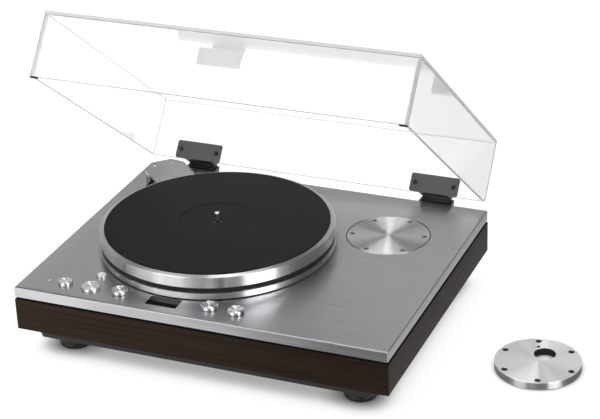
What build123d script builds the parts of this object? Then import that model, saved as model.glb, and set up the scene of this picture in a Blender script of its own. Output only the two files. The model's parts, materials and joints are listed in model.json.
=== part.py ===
from build123d import *
import math
import os

# A belt-drive turntable with its lid open and a spare arm base standing beside it.
# All sizes are millimetres. The working frame has its origin at the centre of the deck's top face,
# X to the right, Y to the back, Z up. Each part is written with its origin moved to the centre of
# the record seat, the mat's top plane on the spindle's axis.

# Deck, the thick aluminium top plate, which reaches past the platter's rim and the arm base
deck_left_margin = 43.3
deck_right_margin = 46.2
deck_front_margin = 36.8
deck_rear_margin = 47.8
deck_thickness = 14.3
deck_edge = 1.6

# Sub-chassis, a frame of four black bars that shows as a dark gap under the deck
gap_height = 2.9
gap_inset = 3

# Plinth, four wooden boards mitred at the corners
plinth_overhang = 0.5
plinth_height = 42
plinth_wall = 14

# Bottom cover, a shallow steel pan
pan_inset = 12.5
pan_depth = 14
pan_sheet = 1.5
pan_corner = 15
pan_boss_radius = 6
vent_length = 46
vent_width = 4
vent_pitch = 12
vent_count = 9
vent_from_front = 188

# Feet and the corner blocks that hold them
foot_inset_x = 53.5
foot_inset_y = 48.5
foot_radius = 20.6
foot_height = 15
foot_gap = 21.8
foot_neck_radius = 14
foot_stud_radius = 5
foot_stud_reach = 17
block_inboard_x = 30
block_inboard_y = 28
block_height = 19
post_width = 11
post_depth = 10.5
post_inset_x = 7.5
post_inset_y = 7.25
pan_screw_inboard_x = 22
pan_screw_inboard_y = 20

# Platter, its belt groove, mat and record seat
platter_radius = 150.7
platter_low = 0.7
platter_top = 32
platter_recess = 2.5
platter_web = 9
platter_rim_wall = 11.7
platter_edge = 0.6
groove_low = 9
groove_high = 16.4
groove_depth = 2.2
hub_radius = 24
hub_low = 7
rib_count = 8
rib_width = 4
rib_height = 7
pocket_margin = 2
pocket_depth = 0.6
mat_margin = 6.2
mat_thickness = 4
label_radius = 50
label_depth = 1
mat_edge = 0.8

# Spindle and its bearing
spindle_radius = 3.575
spindle_tip = 45.5
spindle_dome = 1.5
spindle_collar_radius = 5
shaft_radius = 6
bush_wall = 3
bush_length = 14
housing_wall = 7
housing_flange_radius = 30
housing_flange = 5
housing_low = -62
thrust_thickness = 3
thrust_ball_radius = 3
thrust_dish = 0.5

# Motor, pulley and belt, on a line from the platter to the rear left corner
motor_angle = 134.5
motor_clearance = 45.3
motor_radius = 23
motor_height = 18
motor_shaft_radius = 3
motor_shaft_low = -36
motor_plate_radius = 36
motor_plate = 2.5
isolator_height = 4
isolator_radius = 6
isolator_circle_radius = 29
isolator_count = 4
pulley_radius = 13
pulley_flange = 1
pulley_lip = 2
pulley_hub_radius = 8
pulley_hub_low = 2
belt_width = 6
belt_thickness = 1

# Pulley cover on the deck
cover_height = 22
cover_sheet = 3
cover_half_width = 28
cover_shoulder_reach = 16
cover_far_reach = 33
cover_far_half_width = 15
cover_post_radius = 4
cover_near_post_reach = 18
cover_near_post_side = 24
cover_far_post_reach = 21
cover_far_post_side = 13
cover_edge = 0.8

# Arm bases, the blank one in the deck and the bored one standing loose
arm_clearance = 14.15
arm_angle = 24.5
arm_base_radius = 53.3
arm_base_thickness = 10
arm_base_edge = 0.5
arm_ring_gap = 1
arm_ledge = 20.5
arm_screw_circle_radius = 46.5
arm_screw_count = 6
arm_screw_angle = 12.3
countersink_radius = 4
countersink_depth = 2
spare_gap = 76.7
spare_from_front = 176
spare_turn = 15
tonearm_bore_radius = 13.5
tonearm_bore_x = 8
tonearm_bore_y = 16
pin_hole_radius = 2
pin_hole_y = 33

# Controls along the front of the deck
controls_inset = 29
power_from_left = 57
power_radius = 8.9
power_height = 3.8
start_from_left = 92.6
start_radius = 12.2
start_height = 2.8
speed_from_left = 132.5
pitch_from_spindle = 59.3
pitch_spacing = 35
knob_radius = 10.2
knob_height = 4.7
knob_foot_height = 0.9
knob_foot_inset = 1.2
knob_mark = 0.5
button_skirt = 4
button_travel = 2.5
stem_radius = 3
stem_low = -26
switch_width = 14
switch_depth = 12
switch_height = 17
pot_radius = 7.5
pot_height = 14
led_from_left = 35
led_from_front = 28.8
led_radius = 2
led_rise = 0.6
led_length = 17
level_clearance = 6.4
level_angle = 231.3
level_radius = 6.6
level_rise = 2.6
level_sink = 3
level_wall = 1.5

# Strobe window and what stands under it
window_from_front = 24.8
window_width = 41.2
window_depth = 21.4
window_thickness = 3
window_ledge = 2.2
strobe_wall = 1.5
strobe_height = 22
lamp_board = 1.6
lamp_radius = 2.5
lamp_height = 5

# Lid of clear sheet, sized as it lies closed
lid_side_inset = 3
lid_end_inset = 1
lid_height = 84.2
lid_sheet = 4.5
lid_rise = 2
lid_open_angle = 38.2
lid_pad_length = 10
lid_pad_height = 1.7

# Lid hinges
hinge_from_side = 74.2
hinge_behind_deck = 13.4
hinge_height = 7
leaf_width = 67
leaf_height = 25
leaf_sheet = 2
leaf_corner = 3
leaf_screw_spread = 53
leaf_screw_height = 12.3
tongue_width = 41.8
tongue_end = 7
ear_radius = 5
hinge_pin_radius = 2
barrel_radius = 6
barrel_width = 36.8
bracket_width = 45
bracket_foot_width = 62
bracket_sheet = 3
bracket_low = -50
bracket_foot_top = -24
bracket_flare_top = -1.5
bracket_screw_spread = 50

# Mains inlet at the back, and the electronics on the bottom cover
inlet_from_right = 156
inlet_plate_width = 66
inlet_plate_height = 34
inlet_plate_sheet = 1.5
inlet_width = 48
inlet_height = 24
inlet_length = 22
inlet_flange = 2
socket_width = 24.4
socket_height = 16.4
socket_depth = 17
socket_corner = 4
socket_pin_length = 10
socket_pin_thickness = 2
socket_pin_width = 4
socket_pin_side = 7
socket_pin_line = 1.5
socket_earth_line = 2.5
board_from_spindle = 72
board_from_front = 103
board_width = 140
board_depth = 80
board_sheet = 1.6
board_standoff = 6
board_standoff_radius = 3
capacitor_radius = 8
capacitor_height = 20
heatsink_length = 60
heatsink_depth = 16
heatsink_height = 24
heatsink_sheet = 2
heatsink_fins = 6
capacitor_pitch = 22
connector_width = 15
connector_depth = 8
connector_height = 9
connector_pitch = 25
connector_count = 4
transformer_from_right = 96
transformer_from_front = 118
transformer_core = 66
transformer_stack = 30
transformer_height = 40
transformer_coil = 50

# Fasteners and clearances
screw_radius = 2
screw_head_radius = 4
screw_head = 2
screw_bite = 9
nut_radius = 3.5
nut_height = 2.4
small_screw_radius = 1.5
small_head_radius = 2.6
small_head = 1.2
running_gap = 0.05
stud_gap = 0.08
free_gap = 0.3
window_gap = 0.15
hole_gap = 0.2

# Plan of the deck, worked out from the platter, the arm base and the margins
arm_distance = platter_radius + arm_clearance + arm_base_radius
arm_reach_x = arm_distance * math.cos(math.radians(arm_angle))
arm_reach_y = arm_distance * math.sin(math.radians(arm_angle))
left_reach = deck_left_margin + platter_radius
front_reach = deck_front_margin + platter_radius
deck_width = left_reach + arm_reach_x + arm_base_radius + deck_right_margin
deck_depth = front_reach + platter_radius + deck_rear_margin
deck_right = deck_width / 2
deck_left = -deck_right
deck_back = deck_depth / 2
deck_front = -deck_back
platter_x = deck_left + left_reach
platter_y = deck_front + front_reach
arm_x = platter_x + arm_reach_x
arm_y = platter_y + arm_reach_y
motor_distance = platter_radius + motor_clearance
motor_x = platter_x + motor_distance * math.cos(math.radians(motor_angle))
motor_y = platter_y + motor_distance * math.sin(math.radians(motor_angle))
level_distance = platter_radius + level_clearance + level_radius
level_x = platter_x + level_distance * math.cos(math.radians(level_angle))
level_y = platter_y + level_distance * math.sin(math.radians(level_angle))
controls_y = deck_front + controls_inset
power_x = deck_left + power_from_left
start_x = deck_left + start_from_left
speed_x = deck_left + speed_from_left
pitch_left_x = platter_x + pitch_from_spindle
pitch_right_x = pitch_left_x + pitch_spacing
led_x = deck_left + led_from_left
led_y = deck_front + led_from_front
window_x = platter_x
window_y = deck_front + window_from_front
inlet_x = deck_right - inlet_from_right
board_x = platter_x + board_from_spindle
board_y = deck_front + board_from_front
transformer_x = deck_right - transformer_from_right
transformer_y = deck_front + transformer_from_front
vent_y = deck_front + vent_from_front
spare_x = deck_right + spare_gap + arm_base_radius
spare_y = deck_front + spare_from_front

# Heights and places worked out from the sizes above
deck_bottom = -deck_thickness
plinth_top = deck_bottom - gap_height
plinth_bottom = plinth_top - plinth_height
plinth_width = deck_width + 2 * plinth_overhang
plinth_depth = deck_depth + 2 * plinth_overhang
inside_x = plinth_width / 2 - plinth_wall
inside_y = plinth_depth / 2 - plinth_wall
foot_x = plinth_width / 2 - foot_inset_x
foot_y = plinth_depth / 2 - foot_inset_y
post_x = inside_x - post_inset_x
post_y = inside_y - post_inset_y
pan_bottom = plinth_bottom - pan_depth
pan_floor = pan_bottom + pan_sheet
floor = pan_bottom - foot_gap
block_top = plinth_bottom + block_height
mat_radius = platter_radius - mat_margin
mat_low = platter_top - platter_recess
mat_top = mat_low + mat_thickness
groove_radius = platter_radius - groove_depth
bush_radius = shaft_radius + bush_wall
housing_radius = bush_radius + housing_wall
pocket_floor = -pocket_depth
thrust_seat = housing_low + housing_wall + thrust_thickness
ball_centre = thrust_seat - thrust_dish + thrust_ball_radius
shaft_low = ball_centre + thrust_ball_radius + running_gap
motor_plate_top = deck_bottom - isolator_height
motor_top = motor_plate_top - motor_plate
belt_low = (groove_low + groove_high - belt_width) / 2
lid_width = deck_width - 2 * lid_side_inset
lid_depth = deck_depth - 2 * lid_end_inset
hinge_x = deck_right - hinge_from_side
hinge_y = deck_back + hinge_behind_deck
lid_low = lid_rise
lid_top = lid_low + lid_height
inlet_z = (plinth_top + plinth_bottom) / 2
to_row = Pos(-platter_x, -platter_y, -mat_top)

os.makedirs("parts", exist_ok=True)


def save(name, *solids):
    """Write one sub-part of one or more solids, moved to the row's origin."""
    moved = [to_row * solid for solid in solids]
    whole = moved[0] if len(moved) == 1 else Compound(children=moved)
    export_step(whole, f"parts/{name}.step")


def disc(radius, low, high):
    """Upright cylinder between two heights."""
    return Pos(0, 0, (low + high) / 2) * Cylinder(radius, high - low)


def slab(width, depth, low, high):
    """Upright block between two heights."""
    return Pos(0, 0, (low + high) / 2) * Box(width, depth, high - low)


def turned(*points):
    """Body turned about Z from its half profile of (radius, height) corners."""
    outline = Polyline(*[(radius, 0, height) for radius, height in points], close=True)
    return revolve(make_face(outline), Axis.Z)


def plate(low, high, *corners):
    """Flat plate between two heights with the outline through the corners."""
    return Pos(0, 0, low) * extrude(make_face(Polyline(*corners, close=True)), high - low)


def side_profile(width, outline):
    """Body of one section in the YZ plane, centred on X and as wide as given."""
    return extrude(outline, width / 2, dir=(1, 0, 0), both=True)


def yz_face(*points):
    """Face in the YZ plane through (y, z) corners."""
    return make_face(Polyline(*[(0, y, z) for y, z in points], close=True))


def four_corners(x, y):
    """The four places that lie x and y either side of the centre."""
    return [(sx * x, sy * y) for sx in (-1, 1) for sy in (-1, 1)]


def screw(radius, head_radius, head, length):
    """Pan-head screw that points down, its head standing on z = 0."""
    return disc(head_radius, 0, head) + disc(radius, -length, 0)


# Places that several parts share


def on_platter():
    return Pos(platter_x, platter_y, 0)


def on_motor():
    return Pos(motor_x, motor_y, 0)


def along_belt():
    """Frame at the platter's axis whose X runs towards the motor."""
    return on_platter() * Rot(0, 0, motor_angle)


def cover_posts():
    near_along = motor_distance - cover_near_post_reach
    far_along = motor_distance + cover_far_post_reach
    near = [(near_along, side * cover_near_post_side) for side in (-1, 1)]
    far = [(far_along, side * cover_far_post_side) for side in (-1, 1)]
    return near + far


def arm_screws():
    return PolarLocations(arm_screw_circle_radius, arm_screw_count, arm_screw_angle)


def opened(shape):
    """Turn a lid part from closed to the open angle about the hinge axis."""
    axis_place = Pos(0, hinge_y, hinge_height)
    return axis_place * Rot(-lid_open_angle, 0, 0) * axis_place.inverse() * shape


# Deck


def top_plate():
    body = slab(deck_width, deck_depth, deck_bottom, 0)
    body = chamfer(body.faces().sort_by(Axis.Z)[-1].edges(), deck_edge)
    body -= on_platter() * disc(platter_radius + pocket_margin, pocket_floor, 0)
    body -= on_platter() * disc(housing_radius + hole_gap, deck_bottom, 0)
    for place in bearing_screws():
        body -= on_platter() * place * disc(screw_radius, pocket_floor - screw_bite, 0)
    body -= Pos(arm_x, arm_y) * disc(arm_base_radius + arm_ring_gap, -arm_base_thickness, 0)
    body -= Pos(arm_x, arm_y) * disc(arm_base_radius - arm_ledge, deck_bottom, 0)
    for place in arm_screws():
        body -= Pos(arm_x, arm_y) * place * disc(screw_radius, deck_bottom, 0)
    sight = Pos(window_x, window_y)
    body -= sight * slab(window_width, window_depth, -window_thickness, 0)
    sight_width = window_width - 2 * window_ledge
    sight_depth = window_depth - 2 * window_ledge
    body -= sight * slab(sight_width, sight_depth, deck_bottom, 0)
    button_well = button_skirt + button_travel + 2 * free_gap
    for x, radius in ((power_x, power_radius), (start_x, start_radius)):
        body -= Pos(x, controls_y) * disc(radius + free_gap, -button_well, 0)
        body -= Pos(x, controls_y) * disc(stem_radius + free_gap, deck_bottom, 0)
    for x in (speed_x, pitch_left_x, pitch_right_x):
        body -= Pos(x, controls_y) * disc(stem_radius + free_gap, deck_bottom, 0)
    body -= Pos(led_x, led_y) * disc(led_radius + running_gap, deck_bottom, 0)
    body -= Pos(level_x, level_y) * disc(level_radius + hole_gap, -level_sink, 0)
    body -= on_motor() * disc(pulley_hub_radius + free_gap, deck_bottom, 0)
    for place in isolator_places():
        body -= on_motor() * place * disc(screw_radius, deck_bottom, deck_bottom + screw_bite)
    for along, side in cover_posts():
        body -= along_belt() * Pos(along, side) * disc(small_screw_radius, -screw_bite, 0)
    for x, y in four_corners(post_x, post_y):
        body -= Pos(x, y) * disc(screw_radius, deck_bottom, deck_bottom + screw_bite)
    return body


def sub_chassis():
    """Front and rear bars with shorter side bars between them."""
    half_x = deck_width / 2 - gap_inset
    half_y = deck_depth / 2 - gap_inset
    long_bar = slab(2 * half_x, half_y - inside_y, plinth_top, deck_bottom)
    short_bar = slab(half_x - inside_x, 2 * inside_y, plinth_top, deck_bottom)
    bars = []
    for side in (-1, 1):
        bars.append(Pos(0, side * (half_y + inside_y) / 2) * long_bar)
        bars.append(Pos(side * (half_x + inside_x) / 2) * short_bar)
    return bars


# Plinth and case


def plinth_board(length, offset):
    """Mitred board whose outer face lies offset in front of the centre."""
    half = length / 2
    inner = half - plinth_wall
    outer_y = -offset
    inner_y = plinth_wall - offset
    corners = ((-half, outer_y), (half, outer_y), (inner, inner_y), (-inner, inner_y))
    return plate(plinth_bottom, plinth_top, *corners)


def plinth_boards():
    front = plinth_board(plinth_width, plinth_depth / 2)
    side = plinth_board(plinth_depth, plinth_width / 2)
    rear = Rot(0, 0, 180) * front
    cut = Pos(inlet_x, plinth_depth / 2, inlet_z)
    rear -= cut * Box(inlet_width + 2 * hole_gap, 3 * plinth_wall, inlet_height + 2 * hole_gap)
    for place in inlet_screws():
        rear -= place * disc(small_screw_radius, -screw_bite, 0)
    for place in bracket_screws():
        rear -= place * disc(screw_radius, -screw_bite, 0)
    save("plinth_front", front)
    save("plinth_rear", rear)
    save("plinth_left", Rot(0, 0, -90) * side)
    save("plinth_right", Rot(0, 0, 90) * side)


def corner_block():
    """Rear right block, with the post that holds the deck."""
    low_x = foot_x - block_inboard_x
    low_y = foot_y - block_inboard_y
    corners = ((low_x, low_y), (inside_x, low_y), (inside_x, inside_y), (low_x, inside_y))
    block = plate(plinth_bottom, block_top, *corners)
    block += Pos(post_x, post_y) * slab(post_width, post_depth, block_top, deck_bottom)
    block -= Pos(foot_x, foot_y) * disc(foot_stud_radius + stud_gap, plinth_bottom, block_top)
    block -= Pos(post_x, post_y) * disc(screw_radius, plinth_bottom, deck_bottom)
    block -= Pos(post_x, post_y) * disc(screw_head_radius, plinth_bottom, plinth_bottom + screw_head)
    block -= pan_screw_place() * disc(screw_radius, plinth_bottom, plinth_bottom + screw_bite)
    return block


def pan_screw_place():
    """Screw of the bottom cover at the rear right block."""
    return Pos(foot_x - pan_screw_inboard_x, foot_y - pan_screw_inboard_y)


def at_every_corner(shape):
    """The same shape at the four corners, mirrored from the rear right one."""
    right = [shape, mirror(shape, Plane.XZ)]
    return right + [mirror(one, Plane.YZ) for one in right]


def bottom_cover():
    width = plinth_width - 2 * pan_inset
    depth = plinth_depth - 2 * pan_inset
    outline = chamfer(Rectangle(width, depth).vertices(), pan_corner)
    inner = offset(outline, -pan_sheet, kind=Kind.INTERSECTION)
    pan = Pos(0, 0, pan_bottom) * extrude(outline, pan_depth)
    pan -= Pos(0, 0, pan_floor) * extrude(inner, pan_depth)
    for boss in at_every_corner(pan_screw_place() * disc(pan_boss_radius, pan_bottom, plinth_bottom)):
        pan += boss
    for hole in at_every_corner(pan_screw_place() * disc(screw_radius, pan_bottom, plinth_bottom)):
        pan -= hole
    for x, y in four_corners(foot_x, foot_y):
        pan -= Pos(x, y) * disc(foot_stud_radius + free_gap, pan_bottom, pan_floor)
    for x, y in board_standoffs():
        pan += Pos(x, y) * disc(board_standoff_radius, pan_floor, pan_floor + board_standoff)
    slot = extrude(SlotOverall(vent_length, vent_width, rotation=90), pan_sheet)
    for place in GridLocations(vent_pitch, 1, vent_count, 1):
        pan -= Pos(transformer_x, vent_y, pan_bottom) * place * slot
    return pan


def foot():
    """Foot with its stud, upright on Z: a wide cup under a narrower neck."""
    top = floor + foot_height
    neck_top = pan_bottom - free_gap
    stud_top = plinth_bottom + foot_stud_reach
    return turned(
        (0, floor),
        (foot_radius - 2.4, floor),
        (foot_radius - 0.7, floor + 0.8),
        (foot_radius, floor + 2.6),
        (foot_radius, top - 1.2),
        (foot_radius - 1.2, top),
        (foot_neck_radius, top),
        (foot_neck_radius, neck_top),
        (foot_stud_radius, neck_top),
        (foot_stud_radius, stud_top),
        (0, stud_top),
    )


# Platter, mat, spindle and bearing


def platter():
    rim_inner = platter_radius - platter_rim_wall
    web_low = mat_low - platter_web
    recess = mat_radius + free_gap
    body = turned(
        (shaft_radius, hub_low),
        (hub_radius, hub_low),
        (hub_radius + 2, web_low),
        (rim_inner - 3, web_low),
        (rim_inner, web_low - 3),
        (rim_inner, platter_low),
        (platter_radius - platter_edge, platter_low),
        (platter_radius, platter_low + platter_edge),
        (platter_radius, groove_low),
        (groove_radius, groove_low),
        (groove_radius, groove_high),
        (platter_radius, groove_high),
        (platter_radius, platter_top - platter_edge),
        (platter_radius - platter_edge, platter_top),
        (recess, platter_top),
        (recess, mat_low),
        (spindle_collar_radius, mat_low),
        (spindle_collar_radius, web_low),
        (shaft_radius, web_low),
    )
    rib_length = rim_inner - hub_radius
    rib_middle = hub_radius + rib_length / 2
    rib = Pos(rib_middle, 0) * slab(rib_length, rib_width, web_low - rib_height, web_low)
    for place in PolarLocations(0, rib_count):
        body += place * rib
    return on_platter() * body


def mat():
    hole = spindle_collar_radius + free_gap
    label_floor = mat_top - label_depth
    body = turned(
        (hole, mat_low),
        (mat_radius, mat_low),
        (mat_radius, mat_top - mat_edge),
        (mat_radius - mat_edge, mat_top),
        (label_radius, mat_top),
        (label_radius - label_depth, label_floor),
        (hole, label_floor),
    )
    return on_platter() * body


def spindle():
    web_low = mat_low - platter_web
    collar_top = mat_top - label_depth
    straight_top = spindle_tip - spindle_dome
    body = turned(
        (0, shaft_low),
        (shaft_radius, shaft_low),
        (shaft_radius, web_low),
        (spindle_collar_radius, web_low),
        (spindle_collar_radius, collar_top),
        (spindle_radius, collar_top),
        (spindle_radius, straight_top),
        (spindle_radius * 0.45, spindle_tip),
        (0, spindle_tip),
    )
    return on_platter() * body


def bearing_housing():
    flange_top = pocket_floor + housing_flange
    bore_low = housing_low + housing_wall
    body = turned(
        (0, housing_low),
        (housing_radius, housing_low),
        (housing_radius, pocket_floor),
        (housing_flange_radius, pocket_floor),
        (housing_flange_radius, flange_top),
        (bush_radius, flange_top),
        (bush_radius, bore_low),
        (0, bore_low),
    )
    for place in bearing_screws():
        body -= place * disc(screw_radius, pocket_floor, flange_top)
    return on_platter() * body


def bearing_screws():
    return PolarLocations((housing_radius + housing_flange_radius) / 2, 3, 90)


def bearing_bushes():
    inner = shaft_radius + running_gap
    top = pocket_floor + housing_flange
    low = shaft_low + 1
    upper = disc(bush_radius, top - bush_length, top) - disc(inner, top - bush_length, top)
    lower = disc(bush_radius, low, low + bush_length) - disc(inner, low, low + bush_length)
    return on_platter() * upper, on_platter() * lower


def thrust_bearing():
    plate_body = disc(bush_radius, thrust_seat - thrust_thickness, thrust_seat)
    ball = Pos(0, 0, ball_centre) * Sphere(thrust_ball_radius)
    return on_platter() * (plate_body - ball), on_platter() * ball


# Motor, pulley, belt and cover


def isolator_places():
    return PolarLocations(isolator_circle_radius, isolator_count, 45)


def motor_parts():
    body = disc(motor_radius, motor_top - motor_height, motor_top)
    body = chamfer(body.faces().sort_by(Axis.Z)[0].edges(), 1.5)
    body -= disc(motor_shaft_radius + running_gap, motor_shaft_low - free_gap, motor_top)
    bracket = disc(motor_plate_radius, motor_top, motor_plate_top)
    bracket -= disc(pulley_hub_radius, motor_top, motor_plate_top)
    ring = disc(isolator_radius, motor_plate_top, deck_bottom)
    ring -= disc(screw_radius, motor_plate_top, deck_bottom)
    isolators = []
    for place in isolator_places():
        bracket -= place * disc(screw_radius, motor_top, motor_plate_top)
        isolators.append(on_motor() * place * ring)
    save("motor_body", on_motor() * body)
    save("motor_bracket", on_motor() * bracket)
    save("motor_isolators", *isolators)


def pulley():
    low = groove_low - pulley_flange + free_gap
    high = groove_high + pulley_flange - free_gap
    lip = pulley_radius + pulley_lip
    body = turned(
        (motor_shaft_radius, pulley_hub_low),
        (pulley_hub_radius, pulley_hub_low),
        (pulley_hub_radius, low),
        (lip, low),
        (lip, low + pulley_flange),
        (pulley_radius, low + pulley_flange),
        (pulley_radius, high - pulley_flange),
        (lip, high - pulley_flange),
        (lip, high),
        (motor_shaft_radius, high),
    )
    return on_motor() * body


def motor_shaft():
    return on_motor() * disc(motor_shaft_radius, motor_shaft_low, groove_high + pulley_flange)


def belt_outline(platter_side, motor_side):
    """Outline round both pulleys, on the two outer tangents."""
    reach = math.acos((platter_side - motor_side) / motor_distance)
    big = CenterArc((0, 0), platter_side, math.degrees(reach), 360 - 2 * math.degrees(reach))
    start = -math.degrees(reach)
    small = CenterArc((motor_distance, 0), motor_side, start, 2 * math.degrees(reach))
    upper = Line(big @ 0, small @ 1)
    lower = Line(big @ 1, small @ 0)
    return make_face([big, small, upper, lower])


def drive_belt():
    inner = belt_outline(groove_radius + free_gap, pulley_radius + free_gap)
    outer_gap = free_gap + belt_thickness
    outer = belt_outline(groove_radius + outer_gap, pulley_radius + outer_gap)
    band = extrude(outer, belt_width) - extrude(inner, belt_width)
    return along_belt() * Pos(0, 0, belt_low) * band


def cover_outline(near, inset):
    """Plan of the pulley cover, drawn in by a wall, from the near end to the far end."""
    half = cover_half_width - inset
    far_half = cover_far_half_width - inset * 0.6
    shoulder = motor_distance + cover_shoulder_reach
    far = motor_distance + cover_far_reach - inset
    return (
        (near, -half),
        (shoulder, -half),
        (far, -far_half),
        (far, far_half),
        (shoulder, half),
        (near, half),
    )


def motor_cover():
    near = platter_radius - 2 * pocket_margin
    body = plate(0, cover_height, *cover_outline(near, 0))
    body = chamfer(body.faces().sort_by(Axis.Z)[-1].edges(), cover_edge)
    body -= disc(platter_radius + pocket_margin, 0, cover_height)
    roof = cover_height - cover_sheet
    body -= plate(0, roof, *cover_outline(near, cover_sheet))
    gap = slab(motor_distance - near, 3 * cover_half_width, 0, roof)
    body -= Pos((near + motor_distance) / 2) * gap
    for along, side in cover_posts():
        body += Pos(along, side) * disc(cover_post_radius, 0, roof)
        body -= Pos(along, side) * disc(small_screw_radius, 0, cover_height)
    return along_belt() * body


def motor_screws():
    """Screws of the motor bracket from below, and of the pulley cover from above."""
    hanger = Rot(180, 0, 0) * screw(screw_radius, 3.8, screw_head, motor_plate + isolator_height + 8)
    below = [on_motor() * place * Pos(0, 0, motor_top) * hanger for place in isolator_places()]
    holder = screw(small_screw_radius, small_head_radius, small_head, cover_height + 8)
    above = [along_belt() * Pos(along, side, cover_height) * holder for along, side in cover_posts()]
    return below + above


# Arm bases


def arm_base():
    """Round arm base with its countersunk holes, top face at z = 0."""
    body = disc(arm_base_radius, -arm_base_thickness, 0)
    body = chamfer(body.faces().sort_by(Axis.Z)[-1].edges(), arm_base_edge)
    wide = countersink_radius + hole_gap
    narrow = screw_radius + hole_gap
    sink = Pos(0, 0, -countersink_depth / 2) * Cone(narrow, wide, countersink_depth)
    hole = sink + disc(narrow, -arm_base_thickness, 0)
    for place in arm_screws():
        body -= place * hole
    return body


def arm_base_screws():
    head = Pos(0, 0, -countersink_depth / 2) * Cone(screw_radius, countersink_radius, countersink_depth)
    one = head + disc(screw_radius, -arm_base_thickness - 3, -countersink_depth)
    return [Pos(arm_x, arm_y) * place * one for place in arm_screws()]


def spare_arm_base():
    body = Rot(0, 0, 90 - arm_screw_angle) * arm_base()
    low = -arm_base_thickness
    body -= Pos(tonearm_bore_x, tonearm_bore_y) * disc(tonearm_bore_radius, low, 0)
    body -= Pos(0, pin_hole_y) * disc(pin_hole_radius, low, 0)
    return Pos(spare_x, spare_y, floor + arm_base_thickness) * Rot(0, 0, spare_turn) * body


# Controls


def button(x, radius, height):
    """Push button whose skirt sinks into the deck, on a stem that reaches its switch."""
    body = turned(
        (0, stem_low),
        (stem_radius, stem_low),
        (stem_radius, -button_skirt),
        (radius, -button_skirt),
        (radius, height - 0.6),
        (radius - 0.6, height),
        (radius - 1.8, height),
        (0, height - 0.5),
    )
    return Pos(x, controls_y) * body


def knob(x):
    """Turned low knob on a narrower foot, dished on top, with an index mark."""
    foot_radius_in = knob_radius - knob_foot_inset
    body = turned(
        (0, stem_low),
        (stem_radius, stem_low),
        (stem_radius, free_gap),
        (foot_radius_in, free_gap),
        (foot_radius_in, knob_foot_height),
        (knob_radius, knob_foot_height),
        (knob_radius, knob_height - 0.7),
        (knob_radius - 0.7, knob_height),
        (knob_radius - 2.4, knob_height),
        (0, knob_height - 0.7),
    )
    mark = Pos(0, 0.7 * knob_radius) * slab(1, 0.6 * knob_radius, knob_height - knob_mark, knob_height)
    return Pos(x, controls_y) * (body - mark)


def switch_body(x):
    body = slab(switch_width, switch_depth, deck_bottom - switch_height, deck_bottom)
    stem_end = stem_low - button_travel - free_gap
    body -= disc(stem_radius + running_gap, stem_end, deck_bottom)
    return Pos(x, controls_y) * body


def pitch_pot(x):
    body = disc(pot_radius, deck_bottom - pot_height, deck_bottom)
    body -= disc(stem_radius + running_gap, stem_low - free_gap, deck_bottom)
    return Pos(x, controls_y) * body


def power_led():
    body = disc(led_radius, led_rise - led_length, led_rise)
    body = fillet(body.faces().sort_by(Axis.Z)[-1].edges(), 0.5)
    return Pos(led_x, led_y) * body


def level_parts():
    cup_floor = level_wall - level_sink
    bore = level_radius - level_wall
    cup = disc(level_radius, -level_sink, level_rise) - disc(bore, cup_floor, level_rise)
    glass = disc(bore, cup_floor, level_rise + 0.4)
    glass = fillet(glass.faces().sort_by(Axis.Z)[-1].edges(), 0.35)
    save("level_body", Pos(level_x, level_y) * cup)
    save("level_glass", Pos(level_x, level_y) * glass)


# Strobe


def strobe_parts():
    sight = Pos(window_x, window_y)
    width = window_width - 2 * window_gap
    depth = window_depth - 2 * window_gap
    window = slab(width, depth, -window_thickness, 0)
    inner_width = window_width - 2 * window_ledge
    inner_depth = window_depth - 2 * window_ledge
    low = deck_bottom - strobe_height
    tube = slab(inner_width + 2 * strobe_wall, inner_depth + 2 * strobe_wall, low, deck_bottom)
    tube -= slab(inner_width, inner_depth, low + strobe_wall, deck_bottom)
    board_top = low + strobe_wall + lamp_board
    board = slab(inner_width, inner_depth, low + strobe_wall, board_top)
    lamps = [Pos(x) * disc(lamp_radius, board_top, board_top + lamp_height) for x in (-9, 9)]
    save("strobe_window", sight * window)
    save("strobe_housing", sight * tube)
    save("strobe_board", sight * (board + lamps))


# Lid and hinges, built closed and then turned open


def leaf_screw_places():
    height = lid_low + leaf_screw_height
    inner_face = lid_depth / 2 - lid_sheet - leaf_sheet
    xs = [side * hinge_x + end * leaf_screw_spread / 2 for side in (-1, 1) for end in (-1, 1)]
    return [Pos(x, inner_face, height) * Rot(90, 0, 0) for x in xs]


def lid_sheets():
    wall_top = lid_top - lid_sheet
    wall_y = lid_depth / 2 - lid_sheet / 2
    wall_x = lid_width / 2 - lid_sheet / 2
    wall = slab(lid_width, lid_sheet, lid_low, wall_top)
    side = slab(lid_sheet, lid_depth - 2 * lid_sheet, lid_low, wall_top)
    rear = Pos(0, wall_y) * wall
    notch_top = lid_low + leaf_sheet + free_gap
    notch = slab(tongue_width + 2 * free_gap, 3 * lid_sheet, lid_low, notch_top)
    for x in (-hinge_x, hinge_x):
        rear -= Pos(x, wall_y) * notch
    for place in leaf_screw_places():
        rear -= place * disc(screw_radius, -3 * lid_sheet, 0)
    save("lid_top", opened(slab(lid_width, lid_depth, wall_top, lid_top)))
    save("lid_front", opened(Pos(0, -wall_y) * wall))
    save("lid_rear", opened(rear))
    save("lid_left", opened(Pos(-wall_x) * side))
    save("lid_right", opened(Pos(wall_x) * side))


def lid_pads():
    pad = slab(lid_pad_length, lid_sheet, lid_low - lid_pad_height, lid_low)
    x = lid_width / 2 - lid_pad_length / 2
    y = lid_sheet / 2 - lid_depth / 2
    return [opened(Pos(side * x, y) * pad) for side in (-1, 1)]


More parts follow.
